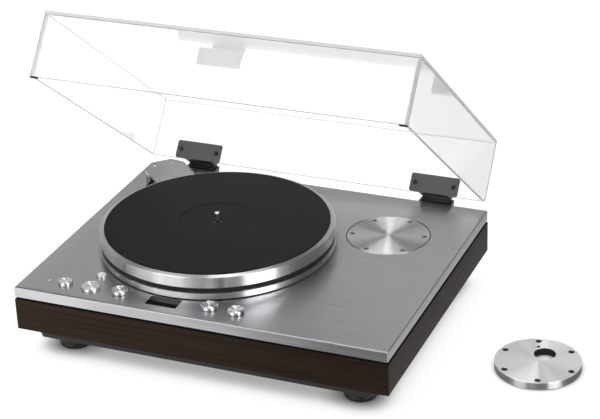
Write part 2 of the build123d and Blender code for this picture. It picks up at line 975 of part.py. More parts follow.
def hinge_leaf(x):
    """Leaf inside the lid: a plate, a tongue under the rear sheet and two ears on the pin."""
    inner_y = lid_depth / 2 - lid_sheet
    outline = RectangleRounded(leaf_width, leaf_height, leaf_corner)
    body = Plane.XZ * extrude(outline, leaf_sheet)
    body = Pos(0, inner_y, lid_low + leaf_height / 2) * body
    tongue_low = lid_low
    tongue_y = hinge_y - tongue_end
    front_y = inner_y - leaf_sheet
    middle_y = (front_y + tongue_y) / 2
    tongue = slab(tongue_width, tongue_y - front_y, tongue_low, tongue_low + leaf_sheet)
    body += Pos(0, middle_y) * tongue
    outer_y = lid_depth / 2 + free_gap
    arm = yz_face(
        (outer_y, tongue_low),
        (hinge_y, hinge_height - ear_radius),
        (hinge_y, hinge_height),
        (tongue_y, hinge_height - 1),
        (outer_y, tongue_low + leaf_sheet),
    )
    eye = Pos(0, hinge_y, hinge_height) * Rot(0, 90, 0) * Cylinder(ear_radius, leaf_sheet)
    ear = side_profile(leaf_sheet, arm) + eye
    ear_x = tongue_width / 2 - leaf_sheet / 2
    for side in (-1, 1):
        body += Pos(side * ear_x) * ear
    bore = Cylinder(hinge_pin_radius + running_gap, 2 * tongue_width)
    body -= Pos(0, hinge_y, hinge_height) * Rot(0, 90, 0) * bore
    body = Pos(x) * body
    for place in leaf_screw_places():
        body -= place * disc(screw_radius, -2 * leaf_sheet, 0)
    return opened(body)


def leaf_screws():
    """Screws through the leaf and the rear sheet, each with its nut outside."""
    grip = leaf_sheet + lid_sheet
    outline = RegularPolygon(nut_radius, 6)
    nut = Pos(0, 0, -grip - nut_height) * extrude(outline, nut_height)
    one = screw(screw_radius, 3.4, 1, grip + nut_height + 0.8) + nut
    return [opened(place * one) for place in leaf_screw_places()]


def hinge_bracket(x):
    """Bracket on the plinth's back, with a barrel between the leaf's ears."""
    back = plinth_depth / 2
    face = back + bracket_sheet
    root_y = hinge_y + barrel_radius
    neck = yz_face(
        (back, bracket_foot_top - 4),
        (face, bracket_foot_top - 4),
        (root_y - 4, bracket_flare_top - 9),
        (root_y, bracket_flare_top),
        (root_y, hinge_height),
        (hinge_y - barrel_radius, hinge_height),
        (hinge_y - barrel_radius, bracket_flare_top + 1),
        (back, bracket_flare_top - 6),
    )
    flare = yz_face(
        (back, bracket_foot_top - 4),
        (face, bracket_foot_top - 4),
        (root_y - 4, bracket_flare_top - 9),
        (root_y - 1, bracket_flare_top),
        (back, bracket_flare_top),
    )
    barrel = Pos(0, hinge_y, hinge_height) * Rot(0, 90, 0) * Cylinder(barrel_radius, barrel_width)
    body = side_profile(barrel_width, neck) + side_profile(bracket_width, flare) + barrel
    foot_plate = slab(bracket_foot_width, bracket_sheet, bracket_low, bracket_foot_top)
    body += Pos(0, back + bracket_sheet / 2) * foot_plate
    bore = Cylinder(hinge_pin_radius, 2 * barrel_width)
    body -= Pos(0, hinge_y, hinge_height) * Rot(0, 90, 0) * bore
    body = Pos(x) * body
    for place in bracket_screws():
        body -= place * disc(screw_radius, -screw_bite, 2 * bracket_sheet)
    return body


def bracket_screws():
    """Screw places on the plinth's back, each with its own Z pointing out of the wood."""
    height = (bracket_low + bracket_foot_top) / 2
    half = bracket_screw_spread / 2
    xs = [side * hinge_x + end * half for side in (-1, 1) for end in (-1, 1)]
    return [Pos(x, plinth_depth / 2, height) * Rot(-90, 0, 0) for x in xs]


def hinge_pins():
    head = free_gap + 1.2
    half = tongue_width / 2
    rod = Cylinder(hinge_pin_radius, 2 * half + 2 * free_gap)
    cap = Pos(0, 0, half + (head + free_gap) / 2) * Cylinder(hinge_pin_radius + 1, head - free_gap)
    one = rod + cap + mirror(cap, Plane.XY)
    return [Pos(x, hinge_y, hinge_height) * Rot(0, 90, 0) * one for x in (-hinge_x, hinge_x)]


# Inlet and electronics


def inlet_screws():
    spread = (inlet_width + inlet_plate_width) / 4
    back = plinth_depth / 2
    return [Pos(inlet_x + side * spread, back, inlet_z) * Rot(-90, 0, 0) for side in (-1, 1)]


def inlet_parts():
    """Appliance inlet in a plate on the plinth's back, with its socket facing the rear."""
    back = plinth_depth / 2
    place = Pos(inlet_x, back, inlet_z) * Rot(-90, 0, 0)
    sheet = slab(inlet_plate_width, inlet_plate_height, 0, inlet_plate_sheet)
    sheet -= slab(inlet_width, inlet_height, 0, inlet_plate_sheet)
    face = inlet_plate_sheet + inlet_flange
    body = slab(inlet_width, inlet_height, inlet_plate_sheet - inlet_length, face)
    mouth = chamfer(Rectangle(socket_width, socket_height).vertices().group_by(Axis.Y)[0], socket_corner)
    body -= Pos(0, 0, face - socket_depth) * extrude(mouth, socket_depth)
    pin_low = face - socket_depth
    pin = slab(socket_pin_thickness, socket_pin_width, pin_low, pin_low + socket_pin_length)
    for side in (-1, 1):
        body += Pos(side * socket_pin_side, socket_pin_line) * pin
    body += Pos(0, -socket_earth_line) * pin
    sheet = place * sheet
    for spot in inlet_screws():
        sheet -= spot * disc(small_screw_radius, 0, inlet_plate_sheet)
    save("inlet_plate", sheet)
    save("mains_inlet", place * body)


def board_standoffs():
    x = board_width / 2 - 6
    y = board_depth / 2 - 6
    return [(board_x + dx, board_y + dy) for dx, dy in four_corners(x, y)]


def control_board():
    low = pan_floor + board_standoff
    top = low + board_sheet
    body = slab(board_width, board_depth, low, top)
    for place in GridLocations(capacitor_pitch, 0, 2, 1):
        can = disc(capacitor_radius, top, top + capacitor_height)
        body += Pos(-0.3 * board_width, -0.25 * board_depth) * place * can
    sink_place = Pos(0.2 * board_width, -0.3 * board_depth)
    body += sink_place * slab(heatsink_length, heatsink_sheet, top, top + heatsink_height)
    fin = slab(heatsink_sheet, heatsink_depth, top, top + heatsink_height)
    for place in GridLocations(heatsink_length / heatsink_fins, 0, heatsink_fins, 1):
        body += sink_place * place * fin
    plug = slab(connector_width, connector_depth, top, top + connector_height)
    for place in GridLocations(connector_pitch, 0, connector_count, 1):
        body += Pos(0, 0.4 * board_depth) * place * plug
    return Pos(board_x, board_y) * body


def transformer():
    top = pan_floor + transformer_height
    core = slab(transformer_core, transformer_stack, pan_floor, top)
    coil = slab(0.6 * transformer_core, transformer_coil, pan_floor + 7, top - 7)
    coil = fillet(coil.edges().filter_by(Axis.Z), 4)
    foot_plate = slab(transformer_core + 18, 0.7 * transformer_stack, pan_floor, pan_floor + 1.5)
    return Pos(transformer_x, transformer_y) * (core + coil + foot_plate)


def case_screws():
    """Deck, bottom cover, bearing, hinge bracket and inlet screws."""
    upward = Rot(180, 0, 0)
    deck_length = deck_bottom - plinth_bottom - screw_head + screw_bite - 1
    deck_one = Pos(post_x, post_y, plinth_bottom + screw_head) * upward
    deck_one = deck_one * screw(screw_radius, screw_head_radius, screw_head, deck_length)
    pan_one = pan_screw_place() * Pos(0, 0, pan_bottom) * upward
    pan_one = pan_one * screw(screw_radius, screw_head_radius, screw_head, pan_depth + screw_bite - 1)
    bearing_top = pocket_floor + housing_flange
    bearing_one = Pos(0, 0, bearing_top) * screw(screw_radius, 3.4, screw_head, housing_flange + 7)
    screws = at_every_corner(deck_one) + at_every_corner(pan_one)
    screws += [on_platter() * place * bearing_one for place in bearing_screws()]
    bracket_one = Pos(0, 0, bracket_sheet)
    bracket_one = bracket_one * screw(screw_radius, screw_head_radius, screw_head, bracket_sheet + 8)
    screws += [place * bracket_one for place in bracket_screws()]
    inlet_one = Pos(0, 0, inlet_plate_sheet)
    inlet_one = inlet_one * screw(small_screw_radius, small_head_radius, small_head, 8)
    screws += [place * inlet_one for place in inlet_screws()]
    return screws


# Write every sub-part

save("top_plate", top_plate())
save("sub_chassis", *sub_chassis())
plinth_boards()
save("corner_blocks", *at_every_corner(corner_block()))
save("bottom_cover", bottom_cover())
save("case_screws", *case_screws())
for x_name, foot_side in (("left", -1), ("right", 1)):
    for y_name, foot_end in (("front", -1), ("rear", 1)):
        save(f"foot_{y_name}_{x_name}", Pos(foot_side * foot_x, foot_end * foot_y) * foot())

save("platter", platter())
save("mat", mat())
save("spindle", spindle())
save("bearing_housing", bearing_housing())
save("bearing_bushes", *bearing_bushes())
save("thrust_bearing", *thrust_bearing())

motor_parts()
save("pulley", pulley())
save("motor_shaft", motor_shaft())
save("drive_belt", drive_belt())
save("motor_cover", motor_cover())
save("motor_screws", *motor_screws())

save("arm_base_blank", Pos(arm_x, arm_y) * arm_base())
save("arm_base_screws", *arm_base_screws())
save("spare_arm_base", spare_arm_base())

save("power_button", button(power_x, power_radius, power_height))
save("start_button", button(start_x, start_radius, start_height))
save("speed_knob", knob(speed_x))
save("pitch_knob_left", knob(pitch_left_x))
save("pitch_knob_right", knob(pitch_right_x))
save("switch_bodies", *[switch_body(x) for x in (power_x, start_x, speed_x)])
save("pitch_pots", *[pitch_pot(x) for x in (pitch_left_x, pitch_right_x)])
save("power_led", power_led())
level_parts()
strobe_parts()

lid_sheets()
save("lid_pads", *lid_pads())
save("hinge_leaf_left", hinge_leaf(-hinge_x))
save("hinge_leaf_right", hinge_leaf(hinge_x))
save("leaf_screws", *leaf_screws())
save("hinge_bracket_left", hinge_bracket(-hinge_x))
save("hinge_bracket_right", hinge_bracket(hinge_x))
save("hinge_pins", *hinge_pins())

inlet_parts()
save("control_board", control_board())
save("transformer", transformer())
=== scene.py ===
"""Turntable with its clear lid open and a second arm base lying beside it.

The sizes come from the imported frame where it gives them. Lengths in this file are millimetres
until they reach Blender, which works in metres.
"""
import json
import math

import bpy
from bpy.props import FloatProperty, FloatVectorProperty, IntProperty, PointerProperty
from mathutils import Matrix, Vector


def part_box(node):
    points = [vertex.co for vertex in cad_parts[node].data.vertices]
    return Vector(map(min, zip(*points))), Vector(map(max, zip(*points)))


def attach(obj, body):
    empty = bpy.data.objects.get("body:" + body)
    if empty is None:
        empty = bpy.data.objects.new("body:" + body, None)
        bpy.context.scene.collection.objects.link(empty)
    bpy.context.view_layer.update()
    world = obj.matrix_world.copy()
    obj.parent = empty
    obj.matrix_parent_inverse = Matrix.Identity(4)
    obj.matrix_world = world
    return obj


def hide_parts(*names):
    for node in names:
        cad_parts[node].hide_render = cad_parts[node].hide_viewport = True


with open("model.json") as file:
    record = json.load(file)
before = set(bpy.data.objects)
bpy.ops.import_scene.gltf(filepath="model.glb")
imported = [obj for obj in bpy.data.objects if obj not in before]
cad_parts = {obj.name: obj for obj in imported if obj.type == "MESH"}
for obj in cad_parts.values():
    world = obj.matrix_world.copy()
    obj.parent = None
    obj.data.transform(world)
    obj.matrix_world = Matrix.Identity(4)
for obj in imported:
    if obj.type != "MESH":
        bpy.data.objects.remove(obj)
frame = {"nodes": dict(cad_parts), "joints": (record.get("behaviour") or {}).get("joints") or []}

bl_info = {
    "name": "Turntable Builder",
    "version": (1, 0, 0),
    "blender": (4, 5, 0),
    "location": "3D Viewport > Sidebar > Turntable",
    "description": "Dresses the turntable frame with detailed pieces and finishes",
    "category": "Object",
}

MM = 0.001
PLATTER_AXIS = (0.0, 0.0)


# ---- sizes read from the frame


def corners(node):
    """Lowest and highest corner of a CAD node at rest, in millimetres."""
    low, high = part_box(node)
    return Vector(low) / MM, Vector(high) / MM


def middle(node):
    """Plan centre of a CAD node, in millimetres."""
    low, high = corners(node)
    return ((low.x + high.x) / 2, (low.y + high.y) / 2)


def half_width(node):
    low, high = corners(node)
    return (high.x - low.x) / 2


def joint_named(name):
    """Record of one of the frame's joints."""
    for joint in frame["joints"]:
        if joint["name"] == name:
            return joint
    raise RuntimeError(f"the frame has no joint named {name}")


DECK_TOP = corners("top_plate")[1].z
FLOOR = corners("foot_front_left")[0].z
LID_HINGE = joint_named("lid_hinge")
LID_CLOSED_ANGLE = LID_HINGE["range_deg"][0]
# The belt runs along the line from the platter's axis to the motor's
BELT_ANGLE = math.degrees(math.atan2(*reversed(middle("pulley"))))
BELT_REACH = math.hypot(*middle("pulley"))
# The frame gives the box of each node; these details are measured from the boxes
PLATTER_WEB = corners("mat")[0].z - 9
PLATTER_BORE = 5
BELT_GROOVE = (DECK_TOP + 9, DECK_TOP + 16.4)
BELT_GROOVE_RADIUS = half_width("platter") - 2.2
LID_INNER_Y = corners("top_plate")[1].y - 5.5
CONTROLS = ("power_button", "start_button", "speed_knob", "pitch_knob_left", "pitch_knob_right")


# ---- colours and nodes


def linear(colour):
    """Turn an sRGB hex colour to the linear values that Blender works with."""
    values = [int(colour[i : i + 2], 16) / 255 for i in (1, 3, 5)]
    return tuple(v / 12.92 if v <= 0.04045 else ((v + 0.055) / 1.055) ** 2.4 for v in values)


def with_alpha(colour):
    return (*colour[:3], 1.0)


def add_node(tree, kind, inputs=None, **settings):
    """Add a shader node and give its outputs; an input is a value or the socket that feeds it."""
    node = tree.nodes.new("ShaderNode" + kind)
    for name, value in settings.items():
        setattr(node, name, value)
    for name, value in (inputs or {}).items():
        if isinstance(value, bpy.types.NodeSocket):
            tree.links.new(value, node.inputs[name])
        else:
            node.inputs[name].default_value = value
    return node.outputs


def start_finish(name):
    """New empty node material and its tree."""
    finish = bpy.data.materials.new(name)
    finish.use_nodes = True
    finish.node_tree.nodes.clear()
    return finish, finish.node_tree


def grain_pattern(tree, spacing, detail):
    """Noise whose grains are as long as given along X, Y and Z, in millimetres."""
    place = add_node(tree, "TexCoord")["Object"]
    scale = tuple(1 / (length * MM) for length in spacing)
    mapping = add_node(tree, "Mapping", {"Vector": place, "Scale": scale})
    settings = {"Vector": mapping["Vector"], "Scale": 1.0, "Detail": detail, "Roughness": 0.55}
    return add_node(tree, "TexNoise", settings)["Fac"]


def ring_place(tree, centre, radial, upright):
    """Radius and height about an upright axis, in units of the two lengths given in millimetres."""
    place = add_node(tree, "TexCoord")["Object"]
    shift = {"Vector": place, "Location": (-centre[0] * MM, -centre[1] * MM, 0)}
    shifted = add_node(tree, "Mapping", shift)["Vector"]
    parts = add_node(tree, "SeparateXYZ", {"Vector": shifted})
    flat = add_node(tree, "CombineXYZ", {"X": parts["X"], "Y": parts["Y"]})["Vector"]
    reach = add_node(tree, "VectorMath", {0: flat}, operation="LENGTH")["Value"]
    scaled = [
        add_node(tree, "Math", {0: value, 1: 1 / (length * MM)}, operation="MULTIPLY")["Value"]
        for value, length in ((reach, radial), (parts["Z"], upright))
    ]
    return add_node(tree, "CombineXYZ", dict(zip("XZ", scaled)))["Vector"]


def pattern_surface(
    tree,
    pattern,
    tones,
    roughness,
    depth=0.0,
    strength=1.0,
    span=(0.3, 0.7),
    tint=None,
    height=None,
    **inputs,
):
    """Surface whose colour and roughness run between two values each over the span of a pattern.

    Its relief is as deep as given, in millimetres. Tint and height are patterns for the colour and
    the relief alone. The other inputs go to the shader as they are.
    """
    source = {"Value": pattern, "From Min": span[0], "From Max": span[1]}
    tone, rough = (
        add_node(tree, "MapRange", {**source, "To Min": low, "To Max": high})["Result"]
        for low, high in ((0, 1), roughness)
    )
    dark, light = (with_alpha(colour) for colour in tones)
    mix = {"Factor": tone if tint is None else tint, 6: dark, 7: light}
    named = {key.replace("_", " "): value for key, value in inputs.items()}
    named["Base Color"] = add_node(tree, "Mix", mix, data_type="RGBA")[2]
    named["Roughness"] = rough
    if depth:
        height = pattern if height is None else height
        bump = {"Height": height, "Distance": depth * MM, "Strength": strength}
        named["Normal"] = add_node(tree, "Bump", bump)["Normal"]
    shader = add_node(tree, "BsdfPrincipled", named)
    add_node(tree, "OutputMaterial", {"Surface": shader["BSDF"]})


def shade(colour, factor):
    """A linear colour made darker or lighter."""
    return tuple(min(1.0, value * factor) for value in colour[:3])


def shades(colour, *factors):
    return [shade(colour, factor) for factor in factors]


# ---- modelling helpers


def choose(*pieces):
    """Select these pieces alone; the first is the active one."""
    if bpy.context.mode != "OBJECT":
        bpy.ops.object.mode_set(mode="OBJECT")
    bpy.ops.object.select_all(action="DESELECT")
    for piece in pieces:
        piece.select_set(True)
    if pieces:
        bpy.context.view_layer.objects.active = pieces[0]


def fresh_point(name):
    """New mesh object of a single vertex at the origin, open in edit mode."""
    choose()
    bpy.ops.mesh.primitive_plane_add(size=0.01)
    piece = bpy.context.object
    piece.name = piece.data.name = name
    bpy.ops.object.mode_set(mode="EDIT")
    bpy.ops.mesh.select_mode(type="VERT")
    bpy.ops.mesh.select_all(action="SELECT")
    bpy.ops.mesh.merge(type="CENTER")
    return piece


def draw_through(points):
    """Move the single vertex to the first point and extrude it through the others."""
    here = Vector(points[0]) * MM
    bpy.ops.transform.translate(value=here)
    for point in points[1:]:
        there = Vector(point) * MM
        bpy.ops.mesh.extrude_region_move(TRANSFORM_OT_translate={"value": there - here})
        here = there
    bpy.ops.mesh.select_all(action="SELECT")


def close_shell(merge=0.000002):
    """Merge points closer than a distance in metres, turn the faces outwards, leave edit mode."""
    bpy.ops.mesh.select_all(action="SELECT")
    bpy.ops.mesh.remove_doubles(threshold=merge)
    bpy.ops.mesh.normals_make_consistent(inside=False)
    bpy.ops.object.mode_set(mode="OBJECT")


def turned_piece(name, centre, profile, steps=96):
    """Spin a half profile of (radius, height) points about an upright axis."""
    piece = fresh_point(name)
    x, y = centre
    draw_through([(x + radius, y, height) for radius, height in profile])
    bpy.ops.mesh.spin(steps=steps, angle=math.tau, center=(x * MM, y * MM, 0), axis=(0, 0, 1))
    close_shell()
    return piece


def settle(piece, place=None):
    """Put a piece at its place and apply it, so that the object itself stands at the origin."""
    if place is not None:
        piece.matrix_world = place
    choose(piece)
    bpy.ops.object.transform_apply(location=True, rotation=True, scale=True)
    return piece


def block_piece(name, low, high):
    """Cube set between two corners."""
    low, high = Vector(low) * MM, Vector(high) * MM
    choose()
    bpy.ops.mesh.primitive_cube_add(size=1, location=(low + high) / 2, scale=high - low)
    piece = bpy.context.object
    piece.name = piece.data.name = name
    return settle(piece)


def hexagon_piece(radius, length, height):
    """Upright hexagonal bar with its middle at a height on the Z axis."""
    choose()
    bpy.ops.mesh.primitive_cylinder_add(
        vertices=6, radius=radius * MM, depth=length * MM, location=(0, 0, height * MM)
    )
    return settle(bpy.context.object)


def modify(piece, kind, **settings):
    """Add a modifier with its settings and apply it."""
    choose(piece)
    bpy.ops.object.modifier_add(type=kind)
    modifier = piece.modifiers[-1]
    for name, value in settings.items():
        setattr(modifier, name, value)
    bpy.ops.object.modifier_apply(modifier=modifier.name)


def soften(piece, width, segments=2, angle=32):
    """Bevel the edges sharper than an angle and smooth the shading between them."""
    modify(
        piece,
        "BEVEL",
        width=width * MM,
        segments=segments,
        limit_method="ANGLE",
        angle_limit=math.radians(angle),
        use_clamp_overlap=False,
    )
    smooth(piece)


def smooth(piece):
    """Shade smooth over edges below 40 degrees, with the large faces kept flat to the eye."""
    choose(piece)
    bpy.ops.object.shade_smooth_by_angle(angle=math.radians(40))
    modify(piece, "WEIGHTED_NORMAL", keep_sharp=True)


def carve(piece, cutter):
    """Cut a cutter out of a piece and delete it."""
    modify(piece, "BOOLEAN", operation="DIFFERENCE", solver="EXACT", object=cutter)
    choose(cutter)
    bpy.ops.object.delete()


def joined(name, *pieces):
    """Join pieces to one mesh."""
    choose(*pieces)
    bpy.ops.object.join()
    pieces[0].name = pieces[0].data.name = name
    return pieces[0]


def copies(piece, places):
    """Copies of a piece, each with its own mesh, at these places; the original is deleted."""
    made = []
    for place in places:
        choose(piece)
        bpy.ops.object.duplicate(linked=False)
        made.append(settle(bpy.context.object, place))
    choose(piece)
    bpy.ops.object.delete()
    return made


def softened_copy(node, width, segments=2):
    """Copy of a CAD node with its triangles merged to flat faces and its edges bevelled."""
    source = frame["nodes"][node]
    choose(source)
    bpy.ops.object.duplicate(linked=False)
    piece = bpy.context.object
    piece.parent = None
    # The copy is no node of the frame, so it drops the frame's marks
    for key in list(piece.keys()):
        del piece[key]
    piece.name = piece.data.name = node + "_softened"
    bpy.ops.object.mode_set(mode="EDIT")
    bpy.ops.mesh.select_all(action="SELECT")
    bpy.ops.mesh.customdata_custom_splitnormals_clear()
    bpy.ops.mesh.remove_doubles(threshold=0.000003)
    bpy.ops.mesh.dissolve_limited(angle_limit=math.radians(0.4))
    bpy.ops.object.mode_set(mode="OBJECT")
    if width:
        soften(piece, width, segments, angle=50)
    return piece


def hand_over(piece, finish, body, node):
    """Give a made piece its body and a finish unless it has one, and hide the node it stands for."""
    if finish:
        set_finish(piece, finish)
    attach(piece, body)
    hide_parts(node)
    return piece


def dress_node(node, width, finish, body, segments=2):
    """Give a CAD node softened edges and a finish, in a piece that stands for it."""
    return hand_over(softened_copy(node, width, segments), finish, body, node)


def set_finish(piece, finish):
    """Give every face of a piece one finish, by its plain name."""
    piece.data.materials.clear()
    piece.data.materials.append(finish_of(finish))
    for face in piece.data.polygons:
        face.material_index = 0


def finish_faces(piece, finish, chosen):
    """Give a further finish to the faces that a test picks out."""
    index = len(piece.data.materials)
    piece.data.materials.append(finish_of(finish))
    for face in piece.data.polygons:
        if chosen(face):
            face.material_index = index


def turned(angle, axis):
    """Turn about an axis through the origin, by an angle in degrees."""
    return Matrix.Rotation(math.radians(angle), 4, axis)


def moved(x, y, z):
    """Move by lengths in millimetres."""
    return Matrix.Translation(Vector((x, y, z)) * MM)


def turned_round(x, y, angle=0.0, z=0.0):
    """Place at x, y and z in millimetres, turned about Z by an angle in degrees."""
    return moved(x, y, z) @ turned(angle, "Z")


# ---- finishes


def grained_finish(name, spacing, detail, tones, roughness, depth=0.0, strength=1.0, **inputs):
    """Finish with a grain of noise, its size given along X, Y and Z in millimetres."""
    finish, tree = start_finish(name)
    grain = grain_pattern(tree, spacing, detail)
    pattern_surface(tree, grain, tones, roughness, depth, strength, **inputs)
    return finish


def brushed_aluminium(name, colour):
    """Anodised aluminium plate brushed along X: mid grey, fine streaks and a stretched glow."""
    finish, tree = start_finish(name)
    # The brush lines are about 0.1 mm apart, drawn 0.7 mm apart so that they show
    lines = grain_pattern(tree, (140, 0.7, 0.7), 4)
    across = add_node(tree, "CombineXYZ", {"Y": 1.0})["Vector"]
    metal = {"Metallic": 1.0, "Anisotropic": 0.7, "Tangent": across}
    pattern_surface(tree, lines, shades(colour, 0.88, 1.08), (0.27, 0.35), 0.012, **metal)
    return finish


def turned_aluminium(name, centre, spacing, tones, roughness, depth, metallic=1.0):
    """Aluminium with a lathe tool's lines round an upright axis, their spacing in millimetres."""
    finish, tree = start_finish(name)
    place = ring_place(tree, centre, spacing, spacing)
    rings = add_node(tree, "TexNoise", {"Vector": place, "Scale": 1.0, "Detail": 2.0})
    tangent = add_node(tree, "Tangent", direction_type="RADIAL", axis="Z")["Tangent"]
    metal = {"Metallic": metallic, "Anisotropic": 1.0, "Anisotropic_Rotation": 0.25}
    pattern_surface(tree, rings["Fac"], tones, roughness, depth, Tangent=tangent, **metal)
    return finish


def faced_aluminium(name, colour, centre, metallic=1.0):
    """Aluminium disc faced on a lathe: fine rings that gather the light into soft wedges."""
    # The tool marks are about 0.2 mm apart, drawn 0.6 mm apart so that they show
    tones = shades(colour, 0.96, 1.03)
    return turned_aluminium(name, centre, 0.6, tones, (0.34, 0.39), 0.002, metallic)


def polished_aluminium(name, colour, centre=PLATTER_AXIS, low=0.31):
    """Turned and polished aluminium: bright, with upright streaks where its lines spread light."""
    # The turning lines are about 0.1 mm apart, drawn 0.5 mm apart so that they show
    tones = shades(colour, 0.97, 1.02)
    return turned_aluminium(name, centre, 0.5, tones, (low, low + 0.03), 0.0002)


def dark_veneer(name, dark, light, grain, shine):
    """Walnut veneer stained very dark under satin lacquer: long straight figure, soft sheen."""
    finish, tree = start_finish(name)
    shares = []
    # Figure 300 mm long and 6 mm wide, and over it pores 40 mm long and 0.8 mm wide
    for along, across, detail, share in ((300, 6, 3, 0.75), (40, 0.8, 2, 0.3)):
        spacing = (along, across, across) if grain == "X" else (across, along, across)
        pattern = grain_pattern(tree, spacing, detail)
        settings = {"Value": pattern, "From Min": 0.3, "From Max": 0.7, "To Max": share}
        shares.append(add_node(tree, "MapRange", settings)["Result"])
    both = add_node(tree, "Math", dict(enumerate(shares)), operation="ADD")["Value"]
    lacquer = {"IOR": 1.5, "Specular_IOR_Level": shine}
    pattern_surface(tree, pattern, (dark, light), (0.42, 0.52), 0.02, tint=both, **lacquer)
    return finish


def raw_timber(name, colour):
    """Planed pale softwood, unfinished: matte, with yearly lines 3 mm apart along the block."""
    return grained_finish(name, (120, 3, 3), 3, shades(colour, 0.75, 1.1), (0.6, 0.75), 0.05)


def satin_paint(name, colour, roughness=0.45, metallic=0.0):
    """Baked enamel on steel: even colour, with a faint orange peel of 1.2 mm in its sheen."""
    tones, rough = shades(colour, 0.9, 1.1), (roughness - 0.05, roughness + 0.05)
    return grained_finish(name, (1.2, 1.2, 1.2), 2, tones, rough, 0.01, Metallic=metallic)


def ground_metal(name, colour, roughness=0.28):
    """Ground or drawn metal for screws, shafts and bushes: bright, with marks 0.5 mm wide."""
    tones, rough = shades(colour, 0.88, 1.05), (roughness - 0.05, roughness + 0.07)
    return grained_finish(name, (0.5, 0.5, 5), 2, tones, rough, 0.004, Metallic=1.0)


def ringed_rubber(name, colour):
    """Moulded rubber mat: matte grey-black, with rings 1.5 mm apart that catch a little light."""
    finish, tree = start_finish(name)
    place = ring_place(tree, PLATTER_AXIS, 1.5, 50)
    # A wave of this scale repeats about once for each unit
    bands = {"Vector": place, "Scale": 0.31831, "Distortion": 0.0}
    rings = add_node(tree, "TexWave", bands, wave_type="BANDS", bands_direction="X")["Fac"]
    grit = grain_pattern(tree, (0.6, 0.6, 0.6), 2)
    dull = {"height": rings, "Specular_IOR_Level": 0.15}
    pattern_surface(tree, grit, shades(colour, 0.85, 1.15), (0.55, 0.68), 0.03, 0.6, **dull)
    return finish


def plain_rubber(name, colour):
    """Ground rubber for belt, pads and motor mounts: matte black, with a dusty grit of 0.5 mm."""
    tones, dull = shades(colour, 0.8, 1.3), {"Specular_IOR_Level": 0.35}
    return grained_finish(name, (0.5, 0.5, 0.5), 3, tones, (0.55, 0.7), 0.02, **dull)


def moulded_plastic(name, colour, roughness=0.4):
    """Injection-moulded ABS with a spark-eroded grain about 0.5 mm across."""
    tones, rough = shades(colour, 0.85, 1.15), (roughness - 0.06, roughness + 0.06)
    return grained_finish(name, (0.5, 0.5, 0.5), 2, tones, rough, 0.012, IOR=1.5)


def smoked_window(name, colour):
    """Smoked acrylic window, polished: black with a mirror-clear gloss and a ripple 18 mm long."""
    tones, gloss = shades(colour, 0.8, 1.2), {"IOR": 1.49, "Specular_IOR_Level": 0.12}
    return grained_finish(name, (18, 18, 18), 1, tones, (0.04, 0.08), 0.01, 0.3, **gloss)


def clear_acrylic(name, colour):
    """Cast acrylic sheet, polished: almost colourless, with a haze in clouds of 60 mm."""
    clear = {"IOR": 1.49, "Specular_IOR_Level": 0.34, "Transmission_Weight": 1.0}
    return grained_finish(name, (60, 60, 60), 1, shades(colour, 0.985, 1.0), (0.0, 0.012), **clear)


def acrylic_edge(name, colour):
    """Saw-cut, flame-polished edge of acrylic sheet: milky grey, with saw marks 2 mm apart."""
    milky = {"IOR": 1.49, "Specular_IOR_Level": 0.3}
    return grained_finish(name, (2, 2, 2), 2, shades(colour, 0.92, 1.05), (0.2, 0.35), **milky)


def clear_lens(name, colour, transmission):
    """Small moulded lens: tinted clear plastic with a wet gloss."""
    wet = {"IOR": 1.49, "Transmission_Weight": transmission}
    return grained_finish(name, (2, 2, 2), 1, shades(colour, 0.94, 1.0), (0.05, 0.1), **wet)


def circuit_board(name, colour):
    """Glass-fibre board under green solder mask: faint weave 0.8 mm apart beneath a gloss."""
    finish, tree = start_finish(name)
    place = add_node(tree, "TexCoord")["Object"]
    weave = add_node(tree, "TexChecker", {"Vector": place, "Scale": 1 / (0.8 * MM)})["Fac"]
    gloss = {"span": (0.0, 1.0), "Coat_Weight": 0.3, "Coat_Roughness": 0.15}
    pattern_surface(tree, weave, shades(colour, 0.92, 1.08), (0.3, 0.4), **gloss)
    return finish


def laminated_core(name, colour):
    """Varnished transformer laminations: brown-grey steel in 0.5 mm sheets, drawn 1 mm apart."""
    tones = shades(colour, 0.7, 1.15)
    return grained_finish(name, (60, 1, 60), 1, tones, (0.35, 0.5), 0.05, Metallic=0.6)


# ---- properties


class TurntableSizes(bpy.types.PropertyGroup):
    """Lengths that a user may change, in metres."""

    edge_softness: FloatProperty(
        name="Edge softness",
        description="Rounding of the small machined edges",
        default=0.0005,
        min=0.0001,
        max=0.0008,
        unit="LENGTH",
        subtype="DISTANCE",
    )
    lid_edge: FloatProperty(
        name="Lid edge",
        description="Polished bevel along the edges of the clear sheets",
        default=0.0005,
        min=0.0002,
        max=0.002,
        unit="LENGTH",
        subtype="DISTANCE",
    )
    round_steps: IntProperty(
        name="Steps in a large circle",
        description="Facets round the platter and other large discs",
        default=256,
        min=48,
        max=360,
    )


class TurntableColours(bpy.types.PropertyGroup):
    """Colours of the finishes, linear."""

    deck: FloatVectorProperty(
        name="Deck",
        description="Anodised aluminium of the deck and the arm bases",
        subtype="COLOR",
        size=3,
        default=linear("#b4b4b6"),
    )
    polish: FloatVectorProperty(
        name="Polished metal",
        description="Polished aluminium of the platter and the knobs",
        subtype="COLOR",
        size=3,
        default=linear("#c6c6c8"),
    )
    wood_dark: FloatVectorProperty(
        name="Wood, dark",
        description="Darker tone of the veneer",
        subtype="COLOR",
        size=3,
        default=linear("#1a120d"),
    )
    wood_light: FloatVectorProperty(
        name="Wood, light",
        description="Lighter tone of the veneer",
        subtype="COLOR",
        size=3,
        default=linear("#38281f"),
    )
    mat: FloatVectorProperty(
        name="Mat",
        description="Rubber of the platter mat",
        subtype="COLOR",
        size=3,
        default=linear("#171717"),
    )


def sizes():
    return bpy.context.scene.turntable_sizes


def colours():
    return bpy.context.scene.turntable_colours


# ---- camera and stage


